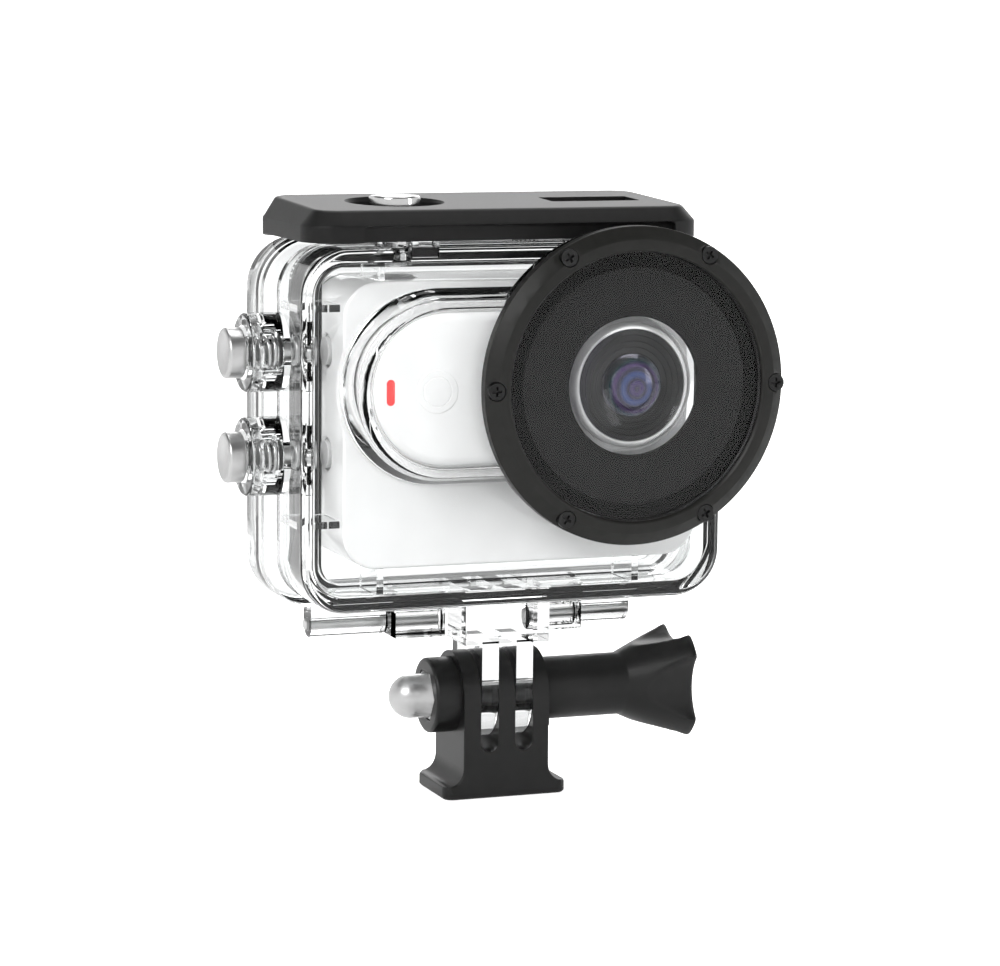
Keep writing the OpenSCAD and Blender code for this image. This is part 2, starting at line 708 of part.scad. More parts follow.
module shutter_spring() color(steel) translate([shutter_x, shutter_y, shutter_boss_z1 + 0.02])
    coil(2.6, 0.3, shutter_cap_z0 - shutter_boss_z1 - 0.04, 3);

module shutter_o_ring() color(black)
    translate([shutter_x, shutter_y, shutter_boss_z1 - o_ring_section]) torus(o_ring_r, o_ring_section - eps);

module shutter_clip() color(steel)
    translate([shutter_x, shutter_y, body_z1 - wall - clip_t - clip_set]) e_clip(clip_in_r);

module side_button(z) color(steel) difference() {
    union() {
        rod_x(side_x0, side_cap_x1, 0, z, side_r);
        rod_x(side_cap_x1 - eps, side_stem_x1 - side_foot_l + eps, 0, z, stem_r);
        rod_x(side_stem_x1 - side_foot_l, side_stem_x1, 0, z, side_foot_r);
    }
    translate([cavity_x0 + clip_set, 0, z]) rotate([0, 90, 0]) tube_z(clip_t, stem_r + 1, clip_in_r);
}

module side_spring(z) color(steel) translate([side_cap_x1 + 0.02, 0, z]) rotate([0, 90, 0])
    coil(2.5, 0.32, side_well_x - side_cap_x1 - 0.04, 4);

module side_clip(z) color(steel) translate([cavity_x0 + clip_set, 0, z]) rotate([0, 90, 0]) e_clip(clip_in_r);

module side_o_rings() color(black) for (z = side_z)
    translate([side_well_x + o_ring_section, 0, z]) rotate([0, 90, 0]) torus(o_ring_r, o_ring_section - eps);

// ---- camera pod ----

module pod_outline(inset) rounded(pod_x0 + inset, pod_x1 - inset, pod_z0 + inset, pod_z1 - inset,
    pod_r - inset);

module camera_outline(grow) pill(cam_left_x, port_x, port_z, cam_r + grow);

module pod_front_shell() color(white) difference() {
    union() {
        difference() {
            slab_y(pod_y0, pod_y1) pod_outline(0);
            slab_y(pod_y0 + pod_wall, pod_y1 + 1) pod_outline(pod_wall);
        }
        slab_y(pod_y0, pocket_y + 1) camera_outline(pocket_gap + 1);
    }
    slab_y(pod_y0 - 1, pocket_y) camera_outline(pocket_gap);
    rod_z(pod_z1 - 1, pod_z1 + 1, shutter_x, shutter_y, pod_key_r + gap);
    for (z = side_z) rod_x(pod_x0 - 1, pod_x0 + 0.8, 0, z, pod_side_key_r + gap);
    for (x = contact_x) rod_y(pocket_y - 1, pocket_y + 2, x, port_z, contact_r);
}

module pod_back_frame() color(white) difference() {
    slab_y(pod_y1 + 0.05, pod_back_y) pod_outline(0);
    slab_y(pod_y1 - 1, pod_back_y - 0.9) pod_outline(2.4);
    slab_y(pod_y1, pod_back_y + 1) pod_outline(3.6);
}

module pod_display_glass() color([0.05, 0.05, 0.06])
    slab_y(pod_back_y - 0.85, pod_back_y - 0.05) pod_outline(3.7);

module pod_display_panel() color([0.1, 0.1, 0.14])
    slab_y(pod_y1 + 0.1, pod_back_y - 0.95) pod_outline(4.4);

module pod_battery() color([0.35, 0.4, 0.48]) slab_y(-7.4, 4.6) rounded(-26, 19, 43.2, 56.4, 1.5);

module pod_main_board() color([0.1, 0.35, 0.2]) slab_y(board_y, board_y + 1) rounded(pod_x0 + 2, pod_x1 - 2,
    pod_z0 + 2, pod_z1 - 2, 4);

module pod_contacts() color([0.8, 0.65, 0.3])
    for (x = contact_x) rod_y(pocket_y - 0.2, board_y, x, port_z, contact_r);

module pod_speaker() color(black) slab_y(-7, -3) rounded(21, 30.6, 43.6, 55, 2);

module pod_top_button() color([0.8, 0.8, 0.8])
    rod_z(pod_z1 - 0.6, pod_z1 + 0.4, shutter_x, shutter_y, pod_key_r);

module pod_side_button(z) color([0.8, 0.8, 0.8]) rod_x(pod_x0 - 0.4, pod_x0 + 0.4, 0, z, pod_side_key_r);

// ---- camera ----

module light_outline(grow) rounded(light_x - light_w / 2 - grow, light_x + light_w / 2 + grow,
    light_z - light_h / 2 - grow, light_z + light_h / 2 + grow, light_w / 2 - 0.05 + grow);

module camera_front_shell() color(white) difference() {
    slab_y(cam_y0, cam_split_y) camera_outline(0);
    slab_y(cam_y0 + cam_wall, cam_split_y + 1) camera_outline(-cam_wall);
    rod_y(cam_y0 - 1, cam_y0 + 2, port_x, port_z, lens_r + 0.05);
    rod_y(cam_y0 - 1, cam_y0 + 0.7, key_x, key_z, key_r + 0.15);
    slab_y(cam_y0 - 1, cam_y0 + 0.7) light_outline(0.1);
}

module camera_back_shell() color(white) difference() {
    slab_y(cam_split_y + 0.03, cam_y1) camera_outline(0);
    slab_y(cam_split_y - 1, cam_y1 - cam_wall) camera_outline(-cam_wall);
}

module camera_battery() color([0.35, 0.4, 0.48]) slab_y(-13, 2.6) rounded(-23, 2, port_z - 8, port_z + 8, 2);

module camera_board() color([0.1, 0.35, 0.2]) slab_y(-15, -14) rounded(-23, 3, port_z - 8, port_z + 8, 3);

module sensor_board() color([0.1, 0.35, 0.2]) slab_y(-4, -3) rounded(port_x - 9, port_x + 8, port_z - 7,
    port_z + 7, 1);

module image_sensor() color([0.2, 0.22, 0.3]) slab_y(-5.2, -4.02) rounded(port_x - 4, port_x + 4,
    port_z - 3.2, port_z + 3.2, 0.3);

module lens_barrel() color(black) difference() {
    rod_y(cam_y0 - 0.2, -5.3, port_x, port_z, lens_barrel_r);
    rod_y(cam_y0 - 1, -lens_seat_y, port_x, port_z, lens_glass_r + 0.05);
    rod_y(cam_y0 - 1, -5, port_x, port_z, lens_bore_r);
}

// Bright sloping ring around the lens
module lens_bezel() color(steel) translate([port_x, 0, port_z]) rotate([90, 0, 0]) rotate_extrude()
    polygon([[lens_r + 0.03, -cam_y0], [lens_bezel_r, -cam_y0], [lens_r + 0.4, -lens_face_y],
        [lens_r + 0.03, -lens_face_y]]);

module lens_cover() color(black) difference() {
    rod_y(lens_face_y + 0.1, cam_y0 - 0.25, port_x, port_z, lens_r);
    rod_y(lens_face_y - 1, cam_y0, port_x, port_z, lens_glass_r + 0.05);
}

module lens_front_element() color([0.25, 0.3, 0.5]) translate([port_x, 0, port_z]) rotate([90, 0, 0])
    rotate_extrude() intersection() {
        translate([0, lens_dome_y - lens_dome_r]) circle(lens_dome_r);
        translate([0, lens_seat_y]) square([lens_glass_r, lens_dome_y - lens_seat_y]);
    }

module lens_inner_elements() color([0.3, 0.35, 0.55]) for (y = [-15.2, -11.9, -8.6])
    rod_y(y, y + 1.6, port_x, port_z, lens_bore_r - 0.05);

module indicator_light() color([0.9, 0.15, 0.1]) slab_y(cam_y0, cam_y0 + 0.65) light_outline(0);

module camera_button() color(white) rod_y(cam_y0, cam_y0 + 0.35, key_x, key_z, key_r);

// ---- nodes ----

mount_base();
thread_insert();
cap_nut();
thumb_bolt();
thumb_knob();
front_shell();
port_ring();
port_glass();
port_o_ring();
port_screws();
port_hood();
hinge_pins();
rear_door();
door_seal();
door_pads();
latch_plate();
latch_pin();
latch_spring();
lock_slider();
shutter_button();
shutter_spring();
shutter_o_ring();
shutter_clip();
side_button(side_z[0]);  // side_button_upper
side_spring(side_z[0]);  // side_spring_upper
side_clip(side_z[0]);  // side_clip_upper
side_button(side_z[1]);  // side_button_lower
side_spring(side_z[1]);  // side_spring_lower
side_clip(side_z[1]);  // side_clip_lower
side_o_rings();
pod_front_shell();
pod_back_frame();
pod_display_panel();
pod_display_glass();
pod_battery();
pod_main_board();
pod_contacts();
pod_speaker();
pod_top_button();
pod_side_button(side_z[0]);  // pod_side_button_upper
pod_side_button(side_z[1]);  // pod_side_button_lower
camera_front_shell();
camera_back_shell();
camera_battery();
camera_board();
sensor_board();
image_sensor();
lens_barrel();
lens_bezel();
lens_cover();
lens_front_element();
lens_inner_elements();
indicator_light();
camera_button();
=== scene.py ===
"""Looks of the action camera in its dive housing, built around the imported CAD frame."""
import math

import bmesh
import bpy
from mathutils import Matrix, Vector


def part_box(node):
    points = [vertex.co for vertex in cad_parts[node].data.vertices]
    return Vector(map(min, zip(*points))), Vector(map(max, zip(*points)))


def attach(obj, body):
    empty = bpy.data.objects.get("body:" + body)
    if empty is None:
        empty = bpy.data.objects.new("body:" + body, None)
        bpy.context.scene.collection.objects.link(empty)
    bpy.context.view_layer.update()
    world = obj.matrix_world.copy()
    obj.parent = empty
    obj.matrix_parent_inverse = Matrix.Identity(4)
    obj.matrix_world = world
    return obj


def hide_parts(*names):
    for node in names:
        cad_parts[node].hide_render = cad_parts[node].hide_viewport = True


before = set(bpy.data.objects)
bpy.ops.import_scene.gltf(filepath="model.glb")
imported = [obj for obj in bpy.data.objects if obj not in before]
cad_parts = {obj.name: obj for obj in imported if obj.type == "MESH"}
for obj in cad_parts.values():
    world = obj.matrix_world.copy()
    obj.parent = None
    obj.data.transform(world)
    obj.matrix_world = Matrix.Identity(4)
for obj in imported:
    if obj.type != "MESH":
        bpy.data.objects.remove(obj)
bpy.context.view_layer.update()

MM = 0.001
TURN = 2 * math.pi
SHARP = math.radians(35)
WELD = 0.025 * MM
AXES = {"x": Vector((1, 0, 0)), "y": Vector((0, 1, 0)), "z": Vector((0, 0, 1))}


# ---- camera, stage and lights ----

VIEW_AZIMUTH = -20.67      # degrees from straight in front
VIEW_ELEVATION = 8.02
VIEW_ROLL = 0.53
VIEW_DISTANCE = 0.61379
VIEW_TARGET = Vector((0.00269, 0, 0.05358))
VIEW_LENS = 129.16
VIEW_SHIFT = (-0.0086, -0.0031)

STAGE_RADIUS = 1.95
STRIP_EDGES = (0.5, 0.62)   # where the side strips start and end, as a share of the stage's radius
SEEN_THROUGH = 0.95
STRIP_GLOW = 0.02
ROOM_GLOW = 0.45
GLOSSY_GLOW = 0.1
CAMERA_GLOW = 0.85


def make_camera():
    a, e, roll = (math.radians(v) for v in (VIEW_AZIMUTH, VIEW_ELEVATION, VIEW_ROLL))
    back = Vector((math.sin(a) * math.cos(e), -math.cos(a) * math.cos(e), math.sin(e)))
    level = Vector((math.cos(a), math.sin(a), 0))
    upright = back.cross(level)
    right = level * math.cos(roll) + upright * math.sin(roll)
    up = upright * math.cos(roll) - level * math.sin(roll)
    data = bpy.data.cameras.new("view")
    data.lens = VIEW_LENS
    data.shift_x, data.shift_y = VIEW_SHIFT
    data.clip_end = 50
    camera = bpy.data.objects.new("view", data)
    turn = Matrix((right, up, back)).transposed().to_4x4()
    camera.matrix_world = Matrix.Translation(VIEW_TARGET + VIEW_DISTANCE * back) @ turn
    bpy.context.scene.collection.objects.link(camera)
    bpy.context.scene.camera = camera


def aim(obj, target):
    obj.rotation_euler = (Vector(target) - obj.location).to_track_quat("-Z", "Y").to_euler()


def softbox(name, place, size, power, target=(0, 0, 0.06)):
    data = bpy.data.lights.new(name, "AREA")
    data.shape = "RECTANGLE"
    data.size, data.size_y = size
    data.energy = power
    light = bpy.data.objects.new(name, data)
    light.location = place
    bpy.context.scene.collection.objects.link(light)
    aim(light, target)


def stage_material(name):
    """A pale studio surface. What the camera sees is bright; the object sees a dimmer room, with a
    darker strip on each side, so that its polished and clear parts get dark edges."""
    mat = bpy.data.materials.new(name)
    mat.use_nodes = True
    nodes, links = nodes_of(mat)
    shader = nodes["Principled BSDF"]
    shader.inputs["Base Color"].default_value = (0.9, 0.9, 0.9, 1)
    shader.inputs["Roughness"].default_value = 0.9
    shader.inputs["Specular IOR Level"].default_value = 0.1
    shader.inputs["Emission Color"].default_value = (1, 1, 1, 1)
    place = nodes.new("ShaderNodeTexCoord")
    side = nodes.new("ShaderNodeVectorMath")
    side.operation = "DOT_PRODUCT"
    angle = math.radians(VIEW_AZIMUTH)
    side.inputs[1].default_value = (math.cos(angle) / STAGE_RADIUS, math.sin(angle) / STAGE_RADIUS, 0)
    links.new(place.outputs["Object"], side.inputs[0])
    spread = nodes.new("ShaderNodeMath")
    spread.operation = "ABSOLUTE"
    links.new(side.outputs["Value"], spread.inputs[0])
    strip = nodes.new("ShaderNodeMapRange")
    strip.inputs["From Min"].default_value = STRIP_EDGES[0]
    strip.inputs["From Max"].default_value = STRIP_EDGES[1]
    strip.inputs["To Min"].default_value = SEEN_THROUGH
    strip.inputs["To Max"].default_value = STRIP_GLOW
    links.new(spread.outputs[0], strip.inputs["Value"])
    rays = nodes.new("ShaderNodeLightPath")
    through = mix_value(nodes, links, rays.outputs["Is Transmission Ray"], ROOM_GLOW, strip.outputs["Result"])
    glossy = mix_value(nodes, links, rays.outputs["Is Glossy Ray"], through, GLOSSY_GLOW)
    seen = mix_value(nodes, links, rays.outputs["Is Camera Ray"], glossy, CAMERA_GLOW)
    links.new(seen, shader.inputs["Emission Strength"])
    return mat


def mix_value(nodes, links, share, first, second):
    """Blends two values, each a number or a socket."""
    mix = nodes.new("ShaderNodeMix")
    links.new(share, mix.inputs["Factor"])
    for socket, value in (("A", first), ("B", second)):
        if isinstance(value, float):
            mix.inputs[socket].default_value = value
        else:
            links.new(value, mix.inputs[socket])
    return mix.outputs["Result"]


def make_stage():
    """A pale round floor that sweeps up into a pale wall all the way round."""
    profile = [(0.6, 0.0), (1.2, 0.0), (1.5, 0.06), (1.75, 0.25), (1.9, 0.6), (STAGE_RADIUS, 1.4)]
    steps = 64
    bm = bmesh.new()
    rings = [[bm.verts.new((r * math.cos(TURN * i / steps), r * math.sin(TURN * i / steps), z))
              for i in range(steps)] for r, z in profile]
    bm.faces.new(rings[0])
    for low, high in zip(rings, rings[1:]):
        for i in range(steps):
            n = (i + 1) % steps
            bm.faces.new((low[i], high[i], high[n], low[n]))
    floor = object_from(bm, "studio_floor", smooth=math.radians(80))
    floor.location.z = -0.0002
    floor.data.materials.append(stage_material("studio_white"))


def make_lights():
    world = bpy.data.worlds.new("studio")
    bpy.context.scene.world = world
    world.use_nodes = True
    background = world.node_tree.nodes["Background"]
    background.inputs["Color"].default_value = (1, 1, 1, 1)
    background.inputs["Strength"].default_value = 0.15
    softbox("key_left", (-0.9, -0.7, 0.9), (0.7, 0.7), 9)
    softbox("fill_right", (0.8, -0.6, 0.3), (0.25, 0.8), 1.6)
    softbox("top", (0.15, 0.35, 1.1), (0.9, 0.7), 6)
    softbox("rim_back", (0.5, 0.9, 0.5), (0.8, 0.4), 2)
    bpy.context.scene.view_settings.view_transform = "Standard"


# ---- mesh helpers ----

def object_from(bm, name, smooth=SHARP):
    """Turns a bmesh into a linked object, smooth except along sharp edges."""
    bmesh.ops.recalc_face_normals(bm, faces=bm.faces)
    mesh = bpy.data.meshes.new(name)
    bm.to_mesh(mesh)
    bm.free()
    for face in mesh.polygons:
        face.use_smooth = True
    mesh.set_sharp_from_angle(angle=smooth)
    obj = bpy.data.objects.new(name, mesh)
    bpy.context.scene.collection.objects.link(obj)
    return obj


def add_bevel(obj, width, segments, angle=32, clamp=False):
    bevel = obj.modifiers.new("rounding", "BEVEL")
    bevel.width = width
    bevel.segments = segments
    bevel.limit_method = "ANGLE"
    bevel.angle_limit = math.radians(angle)
    bevel.use_clamp_overlap = clamp
    bevel.harden_normals = True


def finish_piece(obj, body, slot, finishes, replaced=(), finish=None):
    """Gives a piece its body and finish; the finish is the slot's own unless another is named."""
    obj.data.materials.clear()
    obj.data.materials.append(finishes[finish or slot])
    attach(obj, body)
    if replaced:
        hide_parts(*replaced)
    return obj


def frame_of(axis):
    """Two directions across an axis, so that across, other and the axis are right-handed."""
    along = AXES[axis]
    across = AXES["z"] if axis != "z" else AXES["x"]
    return across, along.cross(across), along


def revolve(bm, profile, origin, axis, steps=96):
    """Turns a closed outline of (radius, distance along the axis) about the axis."""
    across, other, along = frame_of(axis)
    rings = []
    for r, d in profile:
        middle = Vector(origin) + along * d
        if r < 1e-9:
            rings.append([bm.verts.new(middle)])
            continue
        rings.append([bm.verts.new(middle + across * (r * math.cos(TURN * i / steps))
                                   + other * (r * math.sin(TURN * i / steps))) for i in range(steps)])
    closed = len(rings[0]) > 1 or len(rings[-1]) > 1
    pairs = list(zip(rings, rings[1:])) + ([(rings[-1], rings[0])] if closed else [])
    for a, b in pairs:
        for i in range(steps):
            n = (i + 1) % steps
            corners = [a[i % len(a)], a[n % len(a)], b[n % len(b)], b[i % len(b)]]
            face = list(dict.fromkeys(corners))
            if len(face) > 2:
                bm.faces.new(face)


def lathe(name, profile, origin, axis, steps=96, smooth=SHARP):
    bm = bmesh.new()
    revolve(bm, profile, origin, axis, steps)
    return object_from(bm, name, smooth)


def arc(middle_r, middle_d, radius, start, end, count=6):
    """Points of an arc in a lathe profile; angles in degrees, 0 along the radius."""
    angles = [math.radians(start + (end - start) * i / count) for i in range(count + 1)]
    return [(middle_r + radius * math.cos(a), middle_d + radius * math.sin(a)) for a in angles]


def rounded_loop(x0, x1, z0, z1, r, count=10):
    """Corner-rounded rectangle as a loop of (x, z)."""
    loop = []
    corners = ((x1 - r, z1 - r, 0), (x0 + r, z1 - r, 90), (x0 + r, z0 + r, 180), (x1 - r, z0 + r, 270))
    for mx, mz, start in corners:
        for i in range(count + 1):
            a = math.radians(start + 90 * i / count)
            loop.append((mx + r * math.cos(a), mz + r * math.sin(a)))
    return loop


def loft(bm, loops, caps=True):
    """Joins loops of points, each with the same number of points, into a skin."""
    rings = [[bm.verts.new(p) for p in loop] for loop in loops]
    for a, b in zip(rings, rings[1:]):
        for i in range(len(a)):
            n = (i + 1) % len(a)
            bm.faces.new((a[i], a[n], b[n], b[i]))
    if caps:
        bm.faces.new(rings[0])
        bm.faces.new(rings[-1])
    return rings


def copy_of(node):
    """The CAD node's mesh, welded, with its flat areas merged into whole faces."""
    bm = bmesh.new()
    bm.from_mesh(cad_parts[node].data)
    bmesh.ops.remove_doubles(bm, verts=bm.verts, dist=WELD)
    bmesh.ops.dissolve_degenerate(bm, edges=bm.edges, dist=WELD)
    bmesh.ops.dissolve_limit(bm, angle_limit=math.radians(0.6), verts=bm.verts, edges=bm.edges,
                             use_dissolve_boundaries=False, delimit=set())
    return bm


def combine(base, operation, parts):
    """Adds one or several solids to base or cuts them from it, and removes them."""
    parts = parts if isinstance(parts, list) else [parts]
    for part in parts:
        step = base.modifiers.new("step", "BOOLEAN")
        step.operation = operation
        step.object = part
        step.solver = "EXACT"
    bpy.context.view_layer.update()
    made = bpy.data.meshes.new_from_object(base.evaluated_get(bpy.context.evaluated_depsgraph_get()))
    base.modifiers.clear()
    base.data = made
    for part in parts:
        bpy.data.objects.remove(part)
    return base


def tidy_edges(obj, width=0.0, segments=2, angle=SHARP):
    """Merges what the cuts left flat, then rounds the edges and settles the shading."""
    bm = bmesh.new()
    bm.from_mesh(obj.data)
    bmesh.ops.remove_doubles(bm, verts=bm.verts, dist=0.005 * MM)
    bmesh.ops.dissolve_degenerate(bm, edges=bm.edges, dist=0.005 * MM)
    bm.to_mesh(obj.data)
    bm.free()
    obj.data.polygons.foreach_set("use_smooth", [True] * len(obj.data.polygons))
    obj.data.set_sharp_from_angle(angle=angle)
    if width:
        add_bevel(obj, width, segments, 55, clamp=True)
    settle = obj.modifiers.new("even_shading", "WEIGHTED_NORMAL")
    settle.keep_sharp = True
    return obj


def solid_box(x0, x1, y0, y1, z0, z1, soft=0.0):
    bm = bmesh.new()
    made = bmesh.ops.create_cube(bm, size=1.0)
    for v in made["verts"]:
        v.co = ((x0 + x1) / 2 + v.co.x * (x1 - x0), (y0 + y1) / 2 + v.co.y * (y1 - y0),
                (z0 + z1) / 2 + v.co.z * (z1 - z0))
    if soft:
        bmesh.ops.bevel(bm, geom=bm.edges, offset=soft, segments=3, profile=0.5, affect="EDGES")
    return object_from(bm, "block")


def solid_rod(axis, start, end, middle, radius, soft=0.0, steps=64):
    soft = max(soft, 1e-6)
    profile = [(0, start)] + arc(radius - soft, start + soft, soft, -90, 0, 4)
    profile += arc(radius - soft, end - soft, soft, 0, 90, 4) + [(0, end)]
    return lathe("rod", profile, middle, axis, steps)


def solid_slab(axis, start, end, outline):
    """An outline across an axis, given as points with that coordinate left at 0, made solid."""
    along = AXES[axis]
    bm = bmesh.new()
    loft(bm, [[Vector(p) + along * d for p in outline] for d in (start, end)])
    return object_from(bm, "slab")


def inset(rect, dx, dz=None):
    dz = dx if dz is None else dz
    return (rect[0] + dx, rect[1] - dx, rect[2] + dz, rect[3] - dz)


def rounded_copy(name, node, body, slot, finishes, width, segments=2):
    """The CAD node's shape with its edges rounded as a mould or a cutter leaves them."""
    piece = object_from(copy_of(node), name)
    if width:
        add_bevel(piece, width, segments)
    return finish_piece(piece, body, slot, finishes, [node])


# ---- materials ----

def nodes_of(mat):
    return mat.node_tree.nodes, mat.node_tree.links


def grain_field(nodes, links, scale, stretch=(1, 1, 1), detail=4.0):
    """Noise in the piece's own coordinates; scale is in features per metre."""
    place = nodes.new("ShaderNodeTexCoord")
    mapping = nodes.new("ShaderNodeMapping")
    mapping.inputs["Scale"].default_value = stretch
    noise = nodes.new("ShaderNodeTexNoise")
    noise.inputs["Scale"].default_value = scale
    noise.inputs["Detail"].default_value = detail
    links.new(place.outputs["Object"], mapping.inputs["Vector"])
    links.new(mapping.outputs["Vector"], noise.inputs["Vector"])
    return noise.outputs["Fac"]


def surface(name, dark, light, roughness, grain=900.0, stretch=(1, 1, 1), bump=0.1, depth=0.00002,
            metallic=0.0, **sockets):
    """An opaque finish: colour and roughness drift between two values, with a fine grain."""
    mat = bpy.data.materials.new(name)
    mat.use_nodes = True
    nodes, links = nodes_of(mat)
    shader = nodes["Principled BSDF"]
    drift = grain_field(nodes, links, grain / 12, detail=3.0)
    fine = grain_field(nodes, links, grain, stretch)
    ramp = nodes.new("ShaderNodeValToRGB")
    ramp.color_ramp.elements[0].position = 0.3
    ramp.color_ramp.elements[1].position = 0.7
    ramp.color_ramp.elements[0].color = (*dark, 1)
    ramp.color_ramp.elements[1].color = (*light, 1)
    links.new(drift, ramp.inputs["Fac"])
    links.new(ramp.outputs["Color"], shader.inputs["Base Color"])
    rough = nodes.new("ShaderNodeMapRange")
    rough.inputs["To Min"].default_value = roughness[0]
    rough.inputs["To Max"].default_value = roughness[1]
    links.new(fine, rough.inputs["Value"])
    links.new(rough.outputs["Result"], shader.inputs["Roughness"])
    relief = nodes.new("ShaderNodeBump")
    relief.inputs["Strength"].default_value = bump
    relief.inputs["Distance"].default_value = depth
    links.new(fine, relief.inputs["Height"])
    links.new(relief.outputs["Normal"], shader.inputs["Normal"])
    shader.inputs["Metallic"].default_value = metallic
    for socket, value in sockets.items():
        shader.inputs[socket.replace("_", " ")].default_value = value
    return mat


def clear(name, tint_dark, tint_light, ior=1.49, roughness=(0.0, 0.02), mirror=0.3):
    """Clear moulded plastic or glass. Light from the lamps passes straight through it, and mirror dims
    what its faces reflect."""
    mat = bpy.data.materials.new(name)
    mat.use_nodes = True
    nodes, links = nodes_of(mat)
    shader = nodes["Principled BSDF"]
    shader.inputs["Transmission Weight"].default_value = 1.0
    shader.inputs["IOR"].default_value = ior
    shader.inputs["Specular Tint"].default_value = (*grey(mirror), 1)
    drift = grain_field(nodes, links, 90.0)
    ramp = nodes.new("ShaderNodeValToRGB")
    ramp.color_ramp.elements[0].color = (*tint_dark, 1)
    ramp.color_ramp.elements[1].color = (*tint_light, 1)
    links.new(drift, ramp.inputs["Fac"])
    links.new(ramp.outputs["Color"], shader.inputs["Base Color"])
    rough = nodes.new("ShaderNodeMapRange")
    rough.inputs["To Min"].default_value = roughness[0]
    rough.inputs["To Max"].default_value = roughness[1]
    links.new(drift, rough.inputs["Value"])
    links.new(rough.outputs["Result"], shader.inputs["Roughness"])
    rays = nodes.new("ShaderNodeLightPath")
    through = nodes.new("ShaderNodeBsdfTransparent")
    mix = nodes.new("ShaderNodeMixShader")
    links.new(rays.outputs["Is Shadow Ray"], mix.inputs[0])
    links.new(shader.outputs[0], mix.inputs[1])
    links.new(through.outputs[0], mix.inputs[2])
    links.new(mix.outputs[0], nodes["Material Output"].inputs["Surface"])
    return mat


def grey(value):
    return (value, value, value)


def make_materials():
    brushed_x = (0.15, 1, 1)
    brushed_z = (1, 1, 0.15)
    return {
        "black_plastic": surface("black_plastic", grey(0.004), grey(0.006), (0.3, 0.42), 5200, bump=0.12,
                                 Specular_IOR_Level=0.32),
        "brass_insert": surface("brass_insert", (0.55, 0.38, 0.14), (0.7, 0.5, 0.22), (0.25, 0.4), 2500,
                                metallic=1.0),
        "steel": surface("steel", grey(0.5), grey(0.6), (0.22, 0.42), 3000, brushed_x, 0.2, metallic=1.0),
        "steel_polished": surface("steel_polished", grey(0.6), grey(0.68), (0.06, 0.16), 1800,
                                  brushed_z, 0.05, metallic=1.0),
        "steel_dark": surface("steel_dark", grey(0.012), grey(0.02), (0.3, 0.42), 4000, bump=0.1,
                              metallic=0.6),
        "spring_steel": surface("spring_steel", grey(0.52), grey(0.62), (0.16, 0.28), 2500, bump=0.05,
                                metallic=1.0),
        "clear_plastic": clear("clear_plastic", (0.975, 0.985, 0.985), (0.99, 0.995, 0.995)),
        "ring_metal": surface("ring_metal", (0.007, 0.007, 0.006), (0.009, 0.009, 0.008), (0.34, 0.44), 7000,
                              bump=0.08, Specular_IOR_Level=0.28),
        "plate_metal": surface("plate_metal", grey(0.005), grey(0.007), (0.38, 0.48), 7000, bump=0.08,
                               Specular_IOR_Level=0.22),
        "port_glass": clear("port_glass", (0.97, 0.975, 0.98), (0.98, 0.985, 0.99), 1.5, (0.0, 0.01), 0.25),
        "rubber_black": surface("rubber_black", grey(0.004), grey(0.007), (0.45, 0.65), 3000, bump=0.2),
        "rubber_pale": surface("rubber_pale", grey(0.6), grey(0.68), (0.5, 0.7), 2500, bump=0.2),
        "hood_black": surface("hood_black", grey(0.012), grey(0.015), (0.6, 0.7), 6000, bump=0.01,
                              Specular_IOR_Level=0.1),
        "hood_border": surface("hood_border", grey(0.002), grey(0.003), (0.5, 0.6), 6000, bump=0.01,
                               Specular_IOR_Level=0.04),
        "white_plastic": surface("white_plastic", grey(0.9), grey(0.94), (0.22, 0.3), 2600, bump=0.04,
                                 Coat_Weight=0.4),
        "grey_plastic": surface("grey_plastic", grey(0.55), grey(0.6), (0.3, 0.42), 2600, bump=0.1),
        "display_glass": surface("display_glass", grey(0.004), grey(0.006), (0.03, 0.06), 200, bump=0.0,
                                 Coat_Weight=1.0),
        "display_panel": surface("display_panel", (0.01, 0.01, 0.014), (0.014, 0.014, 0.02), (0.2, 0.3), 400),
        "battery_wrap": surface("battery_wrap", (0.09, 0.11, 0.16), (0.12, 0.15, 0.2), (0.3, 0.45), 1500),
        "circuit_board": surface("circuit_board", (0.008, 0.06, 0.03), (0.02, 0.12, 0.05), (0.3, 0.5), 1800,
                                 bump=0.4),
        "gold_contact": surface("gold_contact", (0.7, 0.5, 0.2), (0.85, 0.65, 0.3), (0.15, 0.25), 2500,
                                metallic=1.0),
        "sensor": surface("sensor", (0.03, 0.04, 0.08), (0.06, 0.05, 0.12), (0.08, 0.16), 3000),
        "lens_black": surface("lens_black", grey(0.005), grey(0.008), (0.28, 0.4), 5000, bump=0.05),
        "lens_silver": surface("lens_silver", grey(0.8), grey(0.9), (0.2, 0.3), 3000, bump=0.03,
                               metallic=0.3),
        "indicator_red": surface("indicator_red", (0.8, 0.03, 0.03), (0.95, 0.06, 0.06), (0.2, 0.3), 2600,
                                 Emission_Color=(1, 0.05, 0.05, 1), Emission_Strength=0.35),
    }


# ---- pieces on the adapter ----

def disc_points(node, axis):
    """Middle of a node across an axis, with its two ends along it and its radius."""
    low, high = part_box(node)
    k = "xyz".index(axis)
    middle = (low + high) / 2
    middle[k] = 0
    other = "xyz".index("z" if axis != "z" else "y")
    return middle, low[k], high[k], (high[other] - low[other]) / 2


